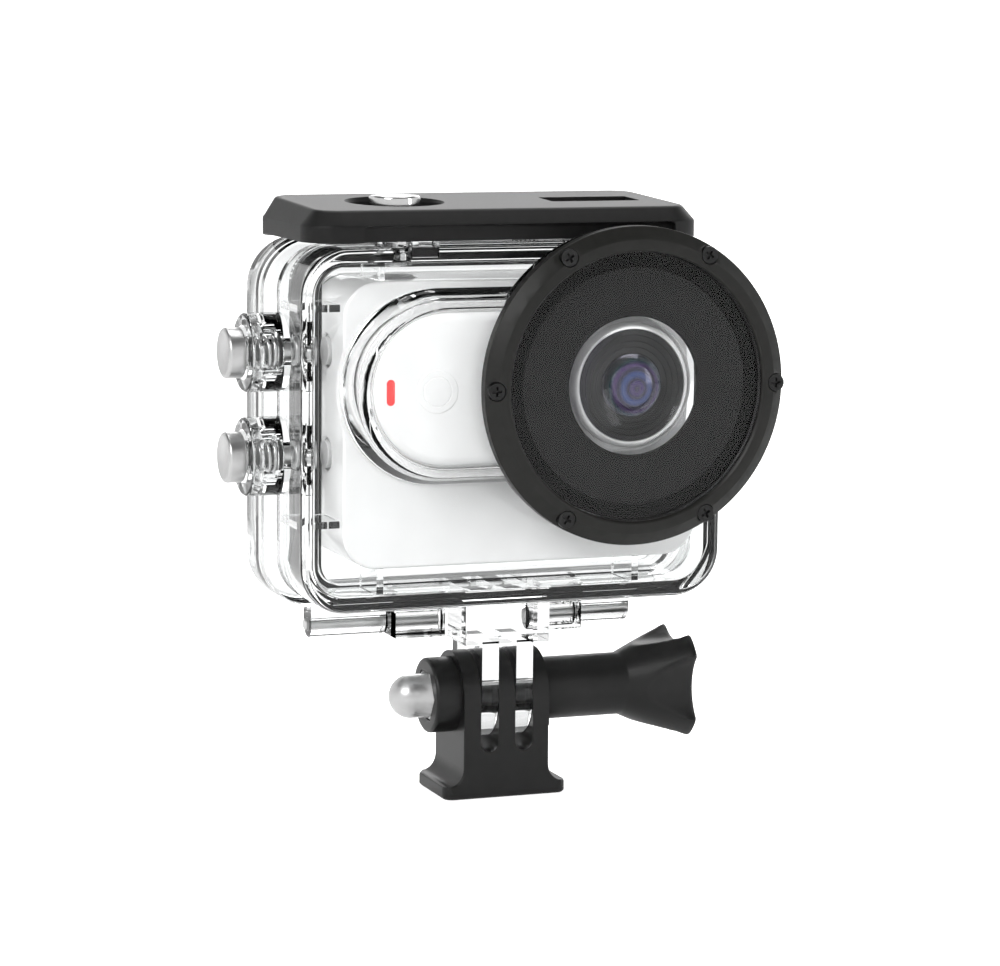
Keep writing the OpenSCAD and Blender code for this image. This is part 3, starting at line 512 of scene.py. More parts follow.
def make_knob(finishes):
    """Thumb knob: a round neck that flares into four scooped lobes, with a dished end."""
    middle, x0, x1, _ = disc_points("thumb_knob", "x")
    radius = 10.8 * MM
    neck_r, scoop_c, scoop_r, blend = 5.4 * MM, 15.5 * MM, 8.7 * MM, 0.12 * MM
    flare_x, flare_slope, dish = x1 - 11.7 * MM, 0.46, 1.6 * MM
    steps = 144

    def star(theta):
        near = (theta + TURN / 8) % (TURN / 4) - TURN / 8
        inside = scoop_r ** 2 - (scoop_c * math.sin(near)) ** 2
        return min(radius, scoop_c * math.cos(near) - math.sqrt(inside)) if inside > 0 else radius

    def reach(theta, x):
        cone = neck_r + flare_slope * (x - flare_x)
        lobe = -blend * math.log(math.exp(-cone / blend) + math.exp(-star(theta) / blend))
        return max(neck_r, lobe) if x > flare_x else neck_r

    stations = [(x0, 0.86), (x0 + 0.25 * MM, 0.96), (x0 + 0.7 * MM, 1.0), (x0 + 6 * MM, 1.0), (flare_x, 1.0)]
    stations += [(flare_x + (x1 - flare_x) * i / 24, 1.0) for i in range(1, 23)]
    stations += [(x1 - 0.5 * MM, 1.0), (x1 - 0.18 * MM, 0.985), (x1 - 0.02 * MM, 0.955)]
    bm = bmesh.new()
    loops = []
    for x, share in stations:
        loops.append([middle + Vector((x, share * reach(TURN * i / steps, x) * math.sin(TURN * i / steps),
                                       share * reach(TURN * i / steps, x) * math.cos(TURN * i / steps)))
                      for i in range(steps)])
    for share in (0.9, 0.8, 0.65, 0.5, 0.35, 0.2, 0.08):
        loops.append([middle + Vector((x1 - dish * (1 - share ** 2) ** 2,
                                       share * reach(TURN * i / steps, x1) * math.sin(TURN * i / steps),
                                       share * reach(TURN * i / steps, x1) * math.cos(TURN * i / steps)))
                      for i in range(steps)])
    loft(bm, loops)
    knob = object_from(bm, "Thumb_Knob", math.radians(50))
    finish_piece(knob, "thumb_screw", "black_plastic", finishes, ["thumb_knob"])


def make_cap_nut(finishes):
    middle, x0, x1, flats = disc_points("cap_nut", "x")
    dome = 3.75 * MM
    shoulder = x0 + dome
    collar_x = x1 - 3.9 * MM
    bm = bmesh.new()
    profile = [(dome * math.sin(TURN / 4 * i / 12), shoulder - dome * math.cos(TURN / 4 * i / 12))
               for i in range(13)]
    profile += [(dome, collar_x - 0.4 * MM), (dome + 0.25 * MM, collar_x), (dome + 0.25 * MM, x1 - 0.2 * MM),
                (0, x1 - 0.2 * MM)]
    revolve(bm, profile, middle, "x")
    hexagon = [(x, share) for x, share in ((collar_x, 0.9), (collar_x + 0.3 * MM, 1.0), (x1, 1.0))]
    loft(bm, [[middle + Vector((x, share * flats * math.cos(TURN * i / 6),
                                share * flats * math.sin(TURN * i / 6)))
               for i in range(6)] for x, share in hexagon])
    nut = object_from(bm, "Cap_Nut")
    finish_piece(nut, "adapter", "steel", finishes, ["cap_nut"])


def make_thread(finishes):
    """Brass insert with its quarter inch thread cut as a helix."""
    middle, z0, z1, outer = disc_points("thread_insert", "z")
    root, crest, pitch = 2.6 * MM, 3.1 * MM, 1.27 * MM
    steps, levels = 48, 40
    bm = bmesh.new()

    def ring(radius_at, z):
        return [middle + Vector((radius_at(i) * math.cos(TURN * i / steps),
                                 radius_at(i) * math.sin(TURN * i / steps), z)) for i in range(steps)]

    def groove(z):
        def radius(i):
            phase = ((z - z0) / pitch - i / steps) % 1
            return root + (crest - root) * (1 - abs(2 * phase - 1))
        return radius

    heights = [z0 + (z1 - z0) * k / levels for k in range(levels + 1)]
    loops = [ring(groove(z), z) for z in heights]
    loops += [ring(lambda i: outer, z1), ring(lambda i: outer, z0 + 0.15 * MM),
              ring(lambda i: outer - 0.15 * MM, z0), ring(lambda i: crest + 0.15 * MM, z0)]
    rings = loft(bm, loops, caps=False)
    for i in range(steps):
        n = (i + 1) % steps
        bm.faces.new((rings[-1][i], rings[-1][n], rings[0][n], rings[0][i]))
    insert = object_from(bm, "Thread_Insert", math.radians(60))
    finish_piece(insert, "adapter", "brass_insert", finishes, ["thread_insert"])


# ---- buttons, pins and springs ----

def helix_tube(bm, origin, axis, radius, wire, start, end, turns, sides=10, per_turn=36):
    """A coil spring along an axis, its end turns lying flat."""
    across, other, along = frame_of(axis)
    count = int(turns * per_turn)
    rings = []
    for i in range(count + 1):
        t = i / count
        flat = 0.5 / turns
        climb = min(max((t - flat) / (1 - 2 * flat), 0), 1)
        turn = TURN * turns * t
        out = across * math.cos(turn) + other * math.sin(turn)
        middle = Vector(origin) + along * (start + wire + (end - start - 2 * wire) * climb) + out * radius
        rings.append([middle + out * (wire * math.cos(TURN * k / sides))
                      + along * (wire * math.sin(TURN * k / sides)) for k in range(sides)])
    loft(bm, rings)


def make_side_button(finishes, name, node, spring_node, body):
    """Steel plunger: a brushed cap with a rounded rim on a thin stem, and its return spring."""
    middle, x0, x1, cap_r = disc_points(node, "x")
    cap_x1 = x0 + 3 * MM
    stem_r, foot_r = 1.5 * MM, 2.4 * MM
    profile = [(0, x0 + 0.12 * MM), (cap_r - 1.0 * MM, x0 + 0.12 * MM), (cap_r - 0.75 * MM, x0 + 0.02 * MM)]
    profile += arc(cap_r - 0.6 * MM, x0 + 0.6 * MM, 0.6 * MM, -90, 0)
    profile += arc(cap_r - 0.3 * MM, cap_x1 - 0.3 * MM, 0.3 * MM, 0, 90, 4)
    profile += [(stem_r + 0.9 * MM, cap_x1), (stem_r, cap_x1 + 0.2 * MM), (stem_r, x1 - 1.4 * MM),
                (foot_r - 0.15 * MM, x1 - 1.4 * MM), (foot_r, x1 - 1.2 * MM), (foot_r, x1 - 0.15 * MM),
                (foot_r - 0.15 * MM, x1), (0, x1)]
    button = lathe(name, profile, middle, "x")
    finish_piece(button, body, "steel", finishes, [node])
    _, s0, s1, coil_r = disc_points(spring_node, "x")
    wire = 0.34 * MM
    bm = bmesh.new()
    helix_tube(bm, middle, "x", coil_r - wire, wire, s0, s1, 4.5)
    spring = object_from(bm, name.replace("Button", "Spring"), math.radians(60))
    finish_piece(spring, "case", "spring_steel", finishes, [spring_node])


def make_shutter(finishes):
    middle, z0, z1, cap_r = disc_points("shutter_button", "z")
    cap_z0 = z1 - 3.6 * MM
    stem_r = 1.5 * MM
    profile = [(0, z0), (stem_r - 0.2 * MM, z0), (stem_r, z0 + 0.2 * MM), (stem_r, cap_z0),
               (cap_r - 0.3 * MM, cap_z0), (cap_r, cap_z0 + 0.3 * MM)]
    profile += arc(cap_r - 0.55 * MM, z1 - 0.75 * MM, 0.55 * MM, 0, 80)
    profile += [(cap_r * 0.6, z1 - 0.08 * MM), (cap_r * 0.3, z1 - 0.02 * MM), (0, z1)]
    button = lathe("Shutter_Button", profile, middle, "z")
    finish_piece(button, "shutter", "steel", finishes, ["shutter_button"], finish="steel_polished")
    _, s0, s1, coil_r = disc_points("shutter_spring", "z")
    wire = 0.32 * MM
    bm = bmesh.new()
    helix_tube(bm, middle, "z", coil_r - wire, wire, s0, s1, 3.5)
    spring = object_from(bm, "Shutter_Spring", math.radians(60))
    finish_piece(spring, "case", "spring_steel", finishes, ["shutter_spring"])


def rod_profile(x0, x1, radius, chamfer):
    return [(0, x0), (radius - chamfer, x0), (radius, x0 + chamfer), (radius, x1 - chamfer),
            (radius - chamfer, x1), (0, x1)]


def make_pins(finishes):
    """Hinge pins and latch pin; they fill their bores in the clear plastic."""
    fill = 0.02 * MM
    low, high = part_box("hinge_pins")
    pin_r = (high.z - low.z) / 2
    gap_half = 8.0 * MM
    middle = Vector((0, (low.y + high.y) / 2, (low.z + high.z) / 2))
    bm = bmesh.new()
    for x0, x1 in ((low.x, -gap_half), (gap_half, high.x)):
        revolve(bm, rod_profile(x0, x1, pin_r + fill, 0.2 * MM), middle, "x", 48)
    pins = object_from(bm, "Hinge_Pins")
    finish_piece(pins, "case", "steel", finishes, ["hinge_pins"])
    middle, x0, x1, pin_r = disc_points("latch_pin", "x")
    pin = lathe("Latch_Pin", rod_profile(x0, x1, pin_r + fill, 0.15 * MM), middle, "x", 48)
    finish_piece(pin, "case", "steel", finishes, ["latch_pin"], finish="steel_polished")
    middle, x0, x1, coil_r = disc_points("latch_spring", "x")
    wire = 0.3 * MM
    bm = bmesh.new()
    helix_tube(bm, middle, "x", coil_r - wire, wire, x0, x1, 6)
    spring = object_from(bm, "Latch_Spring", math.radians(60))
    finish_piece(spring, "case", "spring_steel", finishes, ["latch_spring"])


# ---- camera ----

def slab_of_loops(bm, levels):
    """Skin over rounded outlines given as (x0, x1, z0, z1, corner radius, y)."""
    loft(bm, [[Vector((x, y, z)) for x, z in rounded_loop(x0, x1, z0, z1, r)]
              for x0, x1, z0, z1, r, y in levels])


def make_camera_body(finishes):
    """Front half of the camera's casing: a pill with a soft front edge and a real wall."""
    low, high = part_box("camera_front_shell")
    soft, wall = 1.8 * MM, 1.2 * MM
    radius = (high.z - low.z) / 2

    def level(step, y):
        return (low.x + step, high.x - step, low.z + step, high.z - step, radius - step - 1e-6, y)

    levels = [level(wall + soft * 0.5, low.y + wall), level(wall, low.y + wall + soft * 0.5),
              level(wall, high.y), level(0, high.y), level(0, low.y + soft)]
    for i in range(1, 9):
        a = TURN / 4 * i / 8
        levels.append(level(soft * (1 - math.cos(a)), low.y + soft * (1 - math.sin(a))))
    bm = bmesh.new()
    slab_of_loops(bm, levels)
    shell = object_from(bm, "Camera_Front_Shell", math.radians(50))
    finish_piece(shell, "case", "white_plastic", finishes, ["camera_front_shell"])

    low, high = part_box("indicator_light")
    half_w = (high.x - low.x) / 2
    proud, back = 0.08 * MM, 0.1 * MM
    bm = bmesh.new()
    rows = ((0, low.y + back), (0, low.y - proud * 0.4), (0.06 * MM, low.y - proud))
    slab_of_loops(bm, [(low.x + step, high.x - step, low.z + step, high.z - step, half_w - step - 1e-6, y)
                       for step, y in rows])
    light = object_from(bm, "Indicator_Light", math.radians(50))
    finish_piece(light, "case", "indicator_red", finishes, ["indicator_light"])

    middle, y0, y1, key_r = disc_points("camera_button", "y")
    face = y0 - 0.1 * MM
    profile = [(0, y1), (key_r, y1), (key_r, face + 0.08 * MM), (key_r - 0.1 * MM, face),
               (key_r * 0.72, face), (key_r * 0.7, face + 0.07 * MM), (key_r * 0.66, face + 0.07 * MM),
               (key_r * 0.64, face), (0, face)]
    key = lathe("Camera_Button", profile, middle, "y", 72)
    finish_piece(key, "camera_key", "white_plastic", finishes, ["camera_button"])


def make_lens(finishes):
    """Black lens face with concentric steps, a coated front dome with painted reflections in its colour and a
    bright sloping ring.
    """
    middle, y0, y1, outer = disc_points("lens_bezel", "y")
    inner = 9.53 * MM
    ring = [(inner, y1), (outer, y1), (outer - 0.1 * MM, y1 - 0.3 * MM), (inner + 0.45 * MM, y0 + 0.12 * MM),
            (inner + 0.25 * MM, y0), (inner, y0)]
    bezel = lathe("Lens_Bezel", ring, middle, "y", 128)
    finish_piece(bezel, "case", "lens_silver", finishes, ["lens_bezel"])

    middle, y0, y1, outer = disc_points("lens_cover", "y")
    hole = 5.4 * MM
    face = [(outer, y1), (outer, y0 + 0.15 * MM), (outer - 0.15 * MM, y0)]
    steps = 4
    width = (outer - 0.15 * MM - hole) / steps
    for i in range(steps):
        r = outer - 0.15 * MM - width * i
        y = y0 + 0.2 * MM * i
        face += [(r - width * 0.8, y + 0.05 * MM), (r - width * 0.88, y + 0.2 * MM)]
    face += [(hole, y0 + 0.2 * MM * steps), (hole, y1)]
    cover = lathe("Lens_Cover", face, middle, "y", 128)
    finish_piece(cover, "case", "lens_black", finishes, ["lens_cover"])

    middle, y0, y1, glass_r = disc_points("lens_front_element", "y")
    dome_r = 11.3 * MM
    dome = []
    for i in range(17):
        r = glass_r * i / 16
        dome.append((r, y0 + dome_r - math.sqrt(dome_r ** 2 - r ** 2)))
    glass = lathe("Lens_Front_Element", dome + [(glass_r, y1), (0, y1)], middle, "y", 96)
    # the dome's finish is dark coated glass with painted reflections in its colour
    finish_piece(glass, "case", "lens_glass", finishes, ["lens_front_element"], finish="lens_coat_and_painted_reflections")


def make_hood(finishes):
    """Port glass, and behind it the matt hood with its black border, which reaches the O-ring."""
    middle, y0, y1, outer = disc_points("port_glass", "y")
    chamfer = 0.15 * MM
    glass = lathe("Port_Glass", rod_profile(y0, y1, outer, chamfer), middle, "y", 160)
    finish_piece(glass, "case", "port_glass", finishes, ["port_glass"])
    middle, y0, y1, outer = disc_points("port_hood", "y")
    outer += 0.28 * MM
    hole, border = 11.6 * MM, 19.8 * MM
    sunk, gap = 0.15 * MM, 0.01 * MM
    inner = [(hole, y1), (hole, y0 + 0.35 * MM), (hole + 0.2 * MM, y0 + sunk), (border, y0 + sunk),
             (border, y1)]
    hood = lathe("Port_Hood", inner, middle, "y", 128)
    finish_piece(hood, "case", "hood_black", finishes, ["port_hood"])
    rim = [(border + gap, y1), (border + gap, y0 + 0.1 * MM), (border + 0.1 * MM, y0), (outer, y0),
           (outer, y1)]
    edge = lathe("Port_Hood_Border", rim, middle, "y", 128)
    finish_piece(edge, "case", "hood_black", finishes, finish="hood_border")


def lens_coat_and_painted_reflections():
    """Dark coated glass with painted reflections: rings of violet, blue and green, as seen deep in the lens,
    are painted into its colour in place of the coating's reflections.
    """
    mat = bpy.data.materials.new("lens_coat_and_painted_reflections")
    mat.use_nodes = True
    nodes, links = nodes_of(mat)
    shader = nodes["Principled BSDF"]
    middle, _, _, glass_r = disc_points("lens_front_element", "y")
    place = nodes.new("ShaderNodeTexCoord")
    # the painted reflection rings are centred a little off the lens's middle, where the reflections fall
    shift = nodes.new("ShaderNodeVectorMath")
    shift.operation = "SUBTRACT"
    shift.inputs[1].default_value = middle + Vector((0.6 * MM, 0, -0.5 * MM))
    flat = nodes.new("ShaderNodeVectorMath")
    flat.operation = "MULTIPLY"
    flat.inputs[1].default_value = (1 / glass_r, 0, 1 / glass_r)
    size = nodes.new("ShaderNodeVectorMath")
    size.operation = "LENGTH"
    links.new(place.outputs["Object"], shift.inputs[0])
    links.new(shift.outputs[0], flat.inputs[0])
    links.new(flat.outputs[0], size.inputs[0])
    ramp = nodes.new("ShaderNodeValToRGB")
    # painted reflections: coloured rings standing in for the coating's reflections, near black between them
    painted_reflection_bands = [(0.0, (0.012, 0.012, 0.02)), (0.18, (0.05, 0.03, 0.09)), (0.3, (0.01, 0.012, 0.03)),
             (0.45, (0.03, 0.07, 0.16)), (0.6, (0.008, 0.01, 0.02)), (0.75, (0.05, 0.02, 0.08)),
             (0.88, (0.01, 0.05, 0.04)), (1.0, (0.002, 0.002, 0.004))]
    elements = ramp.color_ramp.elements
    elements[0].position, elements[0].color = painted_reflection_bands[0][0], (*painted_reflection_bands[0][1], 1)
    elements[1].position, elements[1].color = painted_reflection_bands[-1][0], (*painted_reflection_bands[-1][1], 1)
    for position, colour in painted_reflection_bands[1:-1]:
        elements.new(position).color = (*colour, 1)
    links.new(size.outputs["Value"], ramp.inputs["Fac"])
    links.new(ramp.outputs["Color"], shader.inputs["Base Color"])
    shader.inputs["Roughness"].default_value = 0.04
    shader.inputs["Coat Weight"].default_value = 1.0
    shader.inputs["Coat Roughness"].default_value = 0.02
    shader.inputs["Coat Tint"].default_value = (0.75, 0.7, 1.0, 1)
    return mat


# ---- clear case ----

WALL = 2.2 * MM
RIM_OUT = (2.2 * MM, 0.7 * MM)      # how far the rim stands out, sideways and upwards
RIM_DROP = 1.0 * MM
RIM_DEPTH = 2.7 * MM
SEAL_EDGE = 0.7 * MM                # the seal's distance from the rim's bottom edge
SEAM = 0.3 * MM
SEAL_W = 2.6 * MM
BODY_R = 8.0 * MM
EDGE_R = 1.2 * MM
HINGE_R = 2.25 * MM
LUG_R = 1.7 * MM
STEM_BORE_R = 1.6 * MM
SEAT_R = 2.6 * MM                   # seats of the plungers' O-rings
BOLT_BORE_R = 2.53 * MM
RAMP_TURN = Matrix.Rotation(math.radians(-10), 4, "X")      # slope where the latch holds the door
SIDE_BUTTONS = ("side_button_upper", "side_button_lower")


def case_sizes():
    """Outlines in X and Z of the rim, body, cavity, seal and lip, and where the main faces lie in Y."""
    door_low, door_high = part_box("rear_door")
    seal_low, seal_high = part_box("door_seal")
    pod_low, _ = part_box("pod_front_shell")
    rim = (door_low.x, door_high.x, seal_low.z - SEAL_EDGE, door_high.z)
    body = (rim[0] + RIM_OUT[0], rim[1] - RIM_OUT[0], rim[2] + RIM_DROP, rim[3] - RIM_OUT[1])
    seal = (seal_low.x, seal_high.x, seal_low.z, seal_high.z)
    return {"rim": rim, "body": body, "cavity": inset(body, WALL), "seal": seal,
            "lip": inset(seal, SEAL_W + 0.2 * MM), "door_y": door_low.y, "back_y": door_high.y,
            "rim_y": door_low.y - SEAM, "front_y": pod_low.y - 3.3 * MM}


def round_over(rect, r, y, radius, sign, steps=6):
    """Levels of a quarter-round edge that ends flat at y; sign is -1 towards the front, 1 to the back."""
    levels = []
    for i in range(steps + 1):
        a = TURN / 4 * i / steps
        grow = radius * (1 - math.cos(a))
        levels.append((*inset(rect, grow), r - grow, y - sign * radius * (1 - math.sin(a))))
    return levels


def solid_levels(levels):
    bm = bmesh.new()
    loft(bm, [[Vector((x, y, z)) for x, z in rounded_loop(x0, x1, z0, z1, r, 14)]
              for x0, x1, z0, z1, r, y in levels])
    return object_from(bm, "levels")


def pill_levels(left, right, z, rows):
    """Levels of a pill whose end circles sit at left and right; rows are (radius, y)."""
    return [(left - r, right + r, z - r, z + r, r - 1e-6, y) for r, y in rows]


def hinge_line():
    low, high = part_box("hinge_pins")
    return Vector((0, (low.y + high.y) / 2, (low.z + high.z) / 2)), (high.z - low.z) / 2


def knuckle(x0, x1, arm):
    """A hinge knuckle with its arm, a box given as y0, y1, z0, z1."""
    line, _ = hinge_line()
    barrel = solid_rod("x", x0, x1, line, HINGE_R, 0.15 * MM, 48)
    return combine(barrel, "UNION", solid_box(x0, x1, *arm))


def finger_blocks(sizes):
    """The block under the case and its two clear fingers."""
    bolt, _, _, _ = disc_points("thumb_bolt", "x")
    half_w, reach, finger_w, pitch = 7.6 * MM, 7.5 * MM, 3.0 * MM, 6.2 * MM
    block_z0 = bolt.z + 9.5 * MM
    bottom = sizes["body"][2]
    shy, sink = 0.01 * MM, 0.6 * MM
    parts = [solid_box(-half_w, half_w, -reach, sizes["rim_y"] - shy, block_z0 + shy, bottom + 1 * MM,
                       0.25 * MM)]
    steps = 32
    turns = [TURN / 2 * i / steps - TURN / 4 for i in range(steps + 1)]
    for side in (-1, 1):
        x = side * pitch / 2
        outline = [(0, reach * math.sin(a), bolt.z - reach * math.cos(a)) for a in turns]
        outline += [(0, reach, block_z0 + sink), (0, -reach, block_z0 + sink)]
        parts.append(solid_slab("x", x - finger_w / 2, x + finger_w / 2, outline))
    return parts


def locating_ribs(sizes):
    """Low ribs that hold the pod off the shell's walls: two above, two below and two on the left."""
    low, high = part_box("pod_front_shell")
    cavity, sink, gap, rib_w = sizes["cavity"], 0.5 * MM, 0.2 * MM, 1.2 * MM
    y0, y1 = -8 * MM, 1 * MM
    ribs = []
    for x in (-24 * MM, 22 * MM):
        ribs.append(solid_box(x, x + rib_w, y0, y1, high.z + gap, cavity[3] + sink))
        ribs.append(solid_box(x, x + rib_w, y0, y1, cavity[2] - sink, low.z - gap))
    for z in (48 * MM, 84 * MM):
        ribs.append(solid_box(cavity[0] - sink, low.x - gap, y0, y1, z, z + rib_w))
    return ribs


def make_front_shell(finishes):
    """Clear front half: hollow body with a rim, the bulge over the camera and the port behind its ring."""
    sizes = case_sizes()
    rim, body, cavity, lip = (sizes[k] for k in ("rim", "body", "cavity", "lip"))
    rim_y1, front = sizes["rim_y"], sizes["front_y"]
    rim_y0 = rim_y1 - RIM_DEPTH
    inner_r, rim_r, soft = BODY_R - WALL, BODY_R + RIM_OUT[1], 0.25 * MM
    levels = [(*inset(cavity, 1 * MM), inner_r - 1 * MM, front + WALL),
              (*inset(cavity, 0.3 * MM), inner_r - 0.3 * MM, front + WALL + 0.3 * MM),
              (*cavity, inner_r, front + WALL + 1 * MM), (*cavity, inner_r, rim_y0),
              (*lip, 3.8 * MM, rim_y0), (*lip, 3.8 * MM, rim_y1),
              (*inset(rim, soft), rim_r - soft, rim_y1), (*rim, rim_r, rim_y1 - soft),
              (*rim, rim_r, rim_y0 + soft), (*inset(rim, soft), rim_r - soft, rim_y0),
              (*body, BODY_R, rim_y0)]
    shell = solid_levels(levels + round_over(body, BODY_R, front, EDGE_R, -1))
    shell.name = "Clear_Front_Shell"

    port, _, ring_y1, ring_r = disc_points("port_ring", "y")
    cam_low, cam_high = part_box("camera_front_shell")
    cam_r = (cam_high.z - cam_low.z) / 2
    face_y, flange_y = ring_y1 + 0.1 * MM, ring_y1 + 2.6 * MM
    bulge_left = cam_low.x + cam_r - 0.8 * MM
    tip_y = cam_low.y - 2 * MM
    foot_r, fillet, tip_r, round_r = 16.9 * MM, 0.6 * MM, 14.9 * MM, 1.6 * MM
    rows = [(foot_r, front + 1 * MM)] + arc(foot_r, front - fillet, fillet, 90, 180, 5)
    rows += arc(tip_r - round_r, tip_y + round_r, round_r, -5, -90, 8)
    adds = [solid_levels(pill_levels(bulge_left, port.x - 1 * MM, port.z, rows)),
            solid_rod("y", flange_y - 0.2 * MM, front + 1 * MM, port, 22.8 * MM, 0.1 * MM, 128),
            solid_rod("y", face_y, flange_y, port, ring_r - 0.3 * MM, 0.25 * MM, 128)]
    adds += finger_blocks(sizes)

    line, _ = hinge_line()
    block_w, knuckle_x = 7.5 * MM, 17 * MM
    arm = (rim_y0 + 0.02 * MM, rim_y1 - 0.02 * MM, line.z - HINGE_R, rim[2] + 1 * MM)
    for x0, x1 in ((-knuckle_x, -block_w), (block_w, knuckle_x)):
        adds.append(knuckle(x0, x1, arm))
        adds.append(solid_box(x0, x1, rim_y0 + 0.03 * MM, line.y, line.z - HINGE_R + 0.02 * MM,
                              line.z + HINGE_R - 0.1 * MM))

    cuts = []
    collar_x0, collar_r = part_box("front_shell")[0].x, 6.6 * MM
    well_x = collar_x0 + 5 * MM
    for node in SIDE_BUTTONS:
        middle, _, _, _ = disc_points(node, "x")
        collar = solid_rod("x", collar_x0, body[0] + 1 * MM, middle, collar_r, 0.5 * MM, 72)
        combine(collar, "DIFFERENCE", solid_box(rim[0] - SEAM, body[0] + 2 * MM, rim_y1, 20 * MM,
                                                middle.z - 10 * MM, middle.z + 10 * MM))
        adds.append(collar)
        cuts += [solid_rod("x", collar_x0 - 1 * MM, collar_x0 + 2.2 * MM, middle, 4.55 * MM),
                 solid_rod("x", collar_x0, well_x, middle, 3.3 * MM),
                 solid_rod("x", collar_x0, well_x + 1 * MM, middle, SEAT_R),
                 solid_rod("x", collar_x0, body[0] + 6 * MM, middle, STEM_BORE_R)]
    button, _, _, _ = disc_points("shutter_button", "z")
    boss_top = body[3] + 1.8 * MM
    adds.append(solid_rod("z", body[3] - 1 * MM, boss_top, button, 3.4 * MM, 0.3 * MM))
    cuts += [solid_rod("z", body[3] - WALL - 1 * MM, boss_top + 1 * MM, button, STEM_BORE_R),
             solid_rod("z", boss_top - 1 * MM, boss_top + 1 * MM, button, SEAT_R)]

    pin, _, _, _ = disc_points("latch_pin", "x")
    for x0, x1 in ((-20.4 * MM, -15 * MM), (9 * MM, 14.4 * MM)):
        lug = solid_rod("x", x0, x1, pin, LUG_R, 0.15 * MM, 48)
        adds.append(combine(lug, "UNION", solid_box(x0, x1, pin.y - LUG_R, pin.y + 4 * MM,
                                                    body[3] - 1.5 * MM, pin.z)))
    post_y0, post_y1, post_top = -2.6 * MM, 1 * MM, 98.1 * MM
    adds.append(solid_box(28 * MM, 29.4 * MM, post_y0, post_y1, body[3] - 0.5 * MM, post_top))
    adds.append(solid_box(25.6 * MM, 28.2 * MM, post_y0, post_y1, 97 * MM, post_top))

    pocket_r = 14.6 * MM
    pocket = [(pocket_r, front + WALL + 1 * MM), (pocket_r, front + 0.5 * MM)]
    pocket += arc(13.45 * MM - round_r / 2, tip_y + 1.4 * MM + round_r / 2, round_r / 2, -5, -90, 6)
    cuts += [solid_levels(pill_levels(cam_low.x + cam_r, port.x, port.z, pocket)),
             solid_rod("y", face_y - 1 * MM, front + WALL + 1 * MM, port, 20.6 * MM, 0, 128)]
    bolt, _, _, _ = disc_points("thumb_bolt", "x")
    cuts.append(solid_rod("x", -9 * MM, 9 * MM, bolt, BOLT_BORE_R))
    adds += locating_ribs(sizes)
    combine(shell, "UNION", adds)
    combine(shell, "DIFFERENCE", cuts)
    tidy_edges(shell, angle=math.radians(28))
    finish_piece(shell, "case", "clear_plastic", finishes, ["front_shell"])


def make_door(finishes):
    """Clear rear door: a shallow tray with a groove for the seal and two hinge knuckles."""
    sizes = case_sizes()
    rim, seal, lip = sizes["rim"], sizes["seal"], sizes["lip"]
    y0, y1 = sizes["door_y"], sizes["back_y"]
    rim_r, soft, groove_y = BODY_R + RIM_OUT[1], 0.25 * MM, sizes["door_y"] + 2 * MM
    levels = [(*inset(lip, 1 * MM), 2.8 * MM, y1 - WALL),
              (*inset(lip, 0.3 * MM), 3.5 * MM, y1 - WALL - 0.3 * MM),
              (*lip, 3.8 * MM, y1 - WALL - 1 * MM), (*lip, 3.8 * MM, y0),
              (*inset(seal, SEAL_W), 4 * MM, y0), (*inset(seal, SEAL_W), 4 * MM, groove_y),
              (*seal, 6.6 * MM, groove_y), (*seal, 6.6 * MM, y0), (*inset(rim, soft), rim_r - soft, y0),
              (*rim, rim_r, y0 + soft)]
    door = solid_levels(levels + round_over(rim, rim_r, y1, 1.4 * MM, 1))
    door.name = "Clear_Rear_Door"
    line, pin_r = hinge_line()
    arm = (line.y - HINGE_R + 0.05 * MM, line.y + HINGE_R - 0.05 * MM, line.z, rim[2] + 0.6 * MM)
    spans = ((-30.8 * MM, -17.4 * MM), (17.4 * MM, 27.6 * MM))
    combine(door, "UNION", [knuckle(x0, x1, arm) for x0, x1 in spans])
    ramp = solid_box(-60 * MM, 60 * MM, 0, 12 * MM, 0, 6 * MM)
    ramp.data.transform(Matrix.Translation((0, y1 - WALL, rim[3])) @ RAMP_TURN)
    combine(door, "DIFFERENCE", [ramp] + [solid_rod("x", x0 - 1 * MM, x1 + 1 * MM, line, pin_r + 0.08 * MM)
                                          for x0, x1 in spans])
    tidy_edges(door, angle=math.radians(28))
    finish_piece(door, "door", "clear_plastic", finishes, ["rear_door"])


# ---- latch plate ----

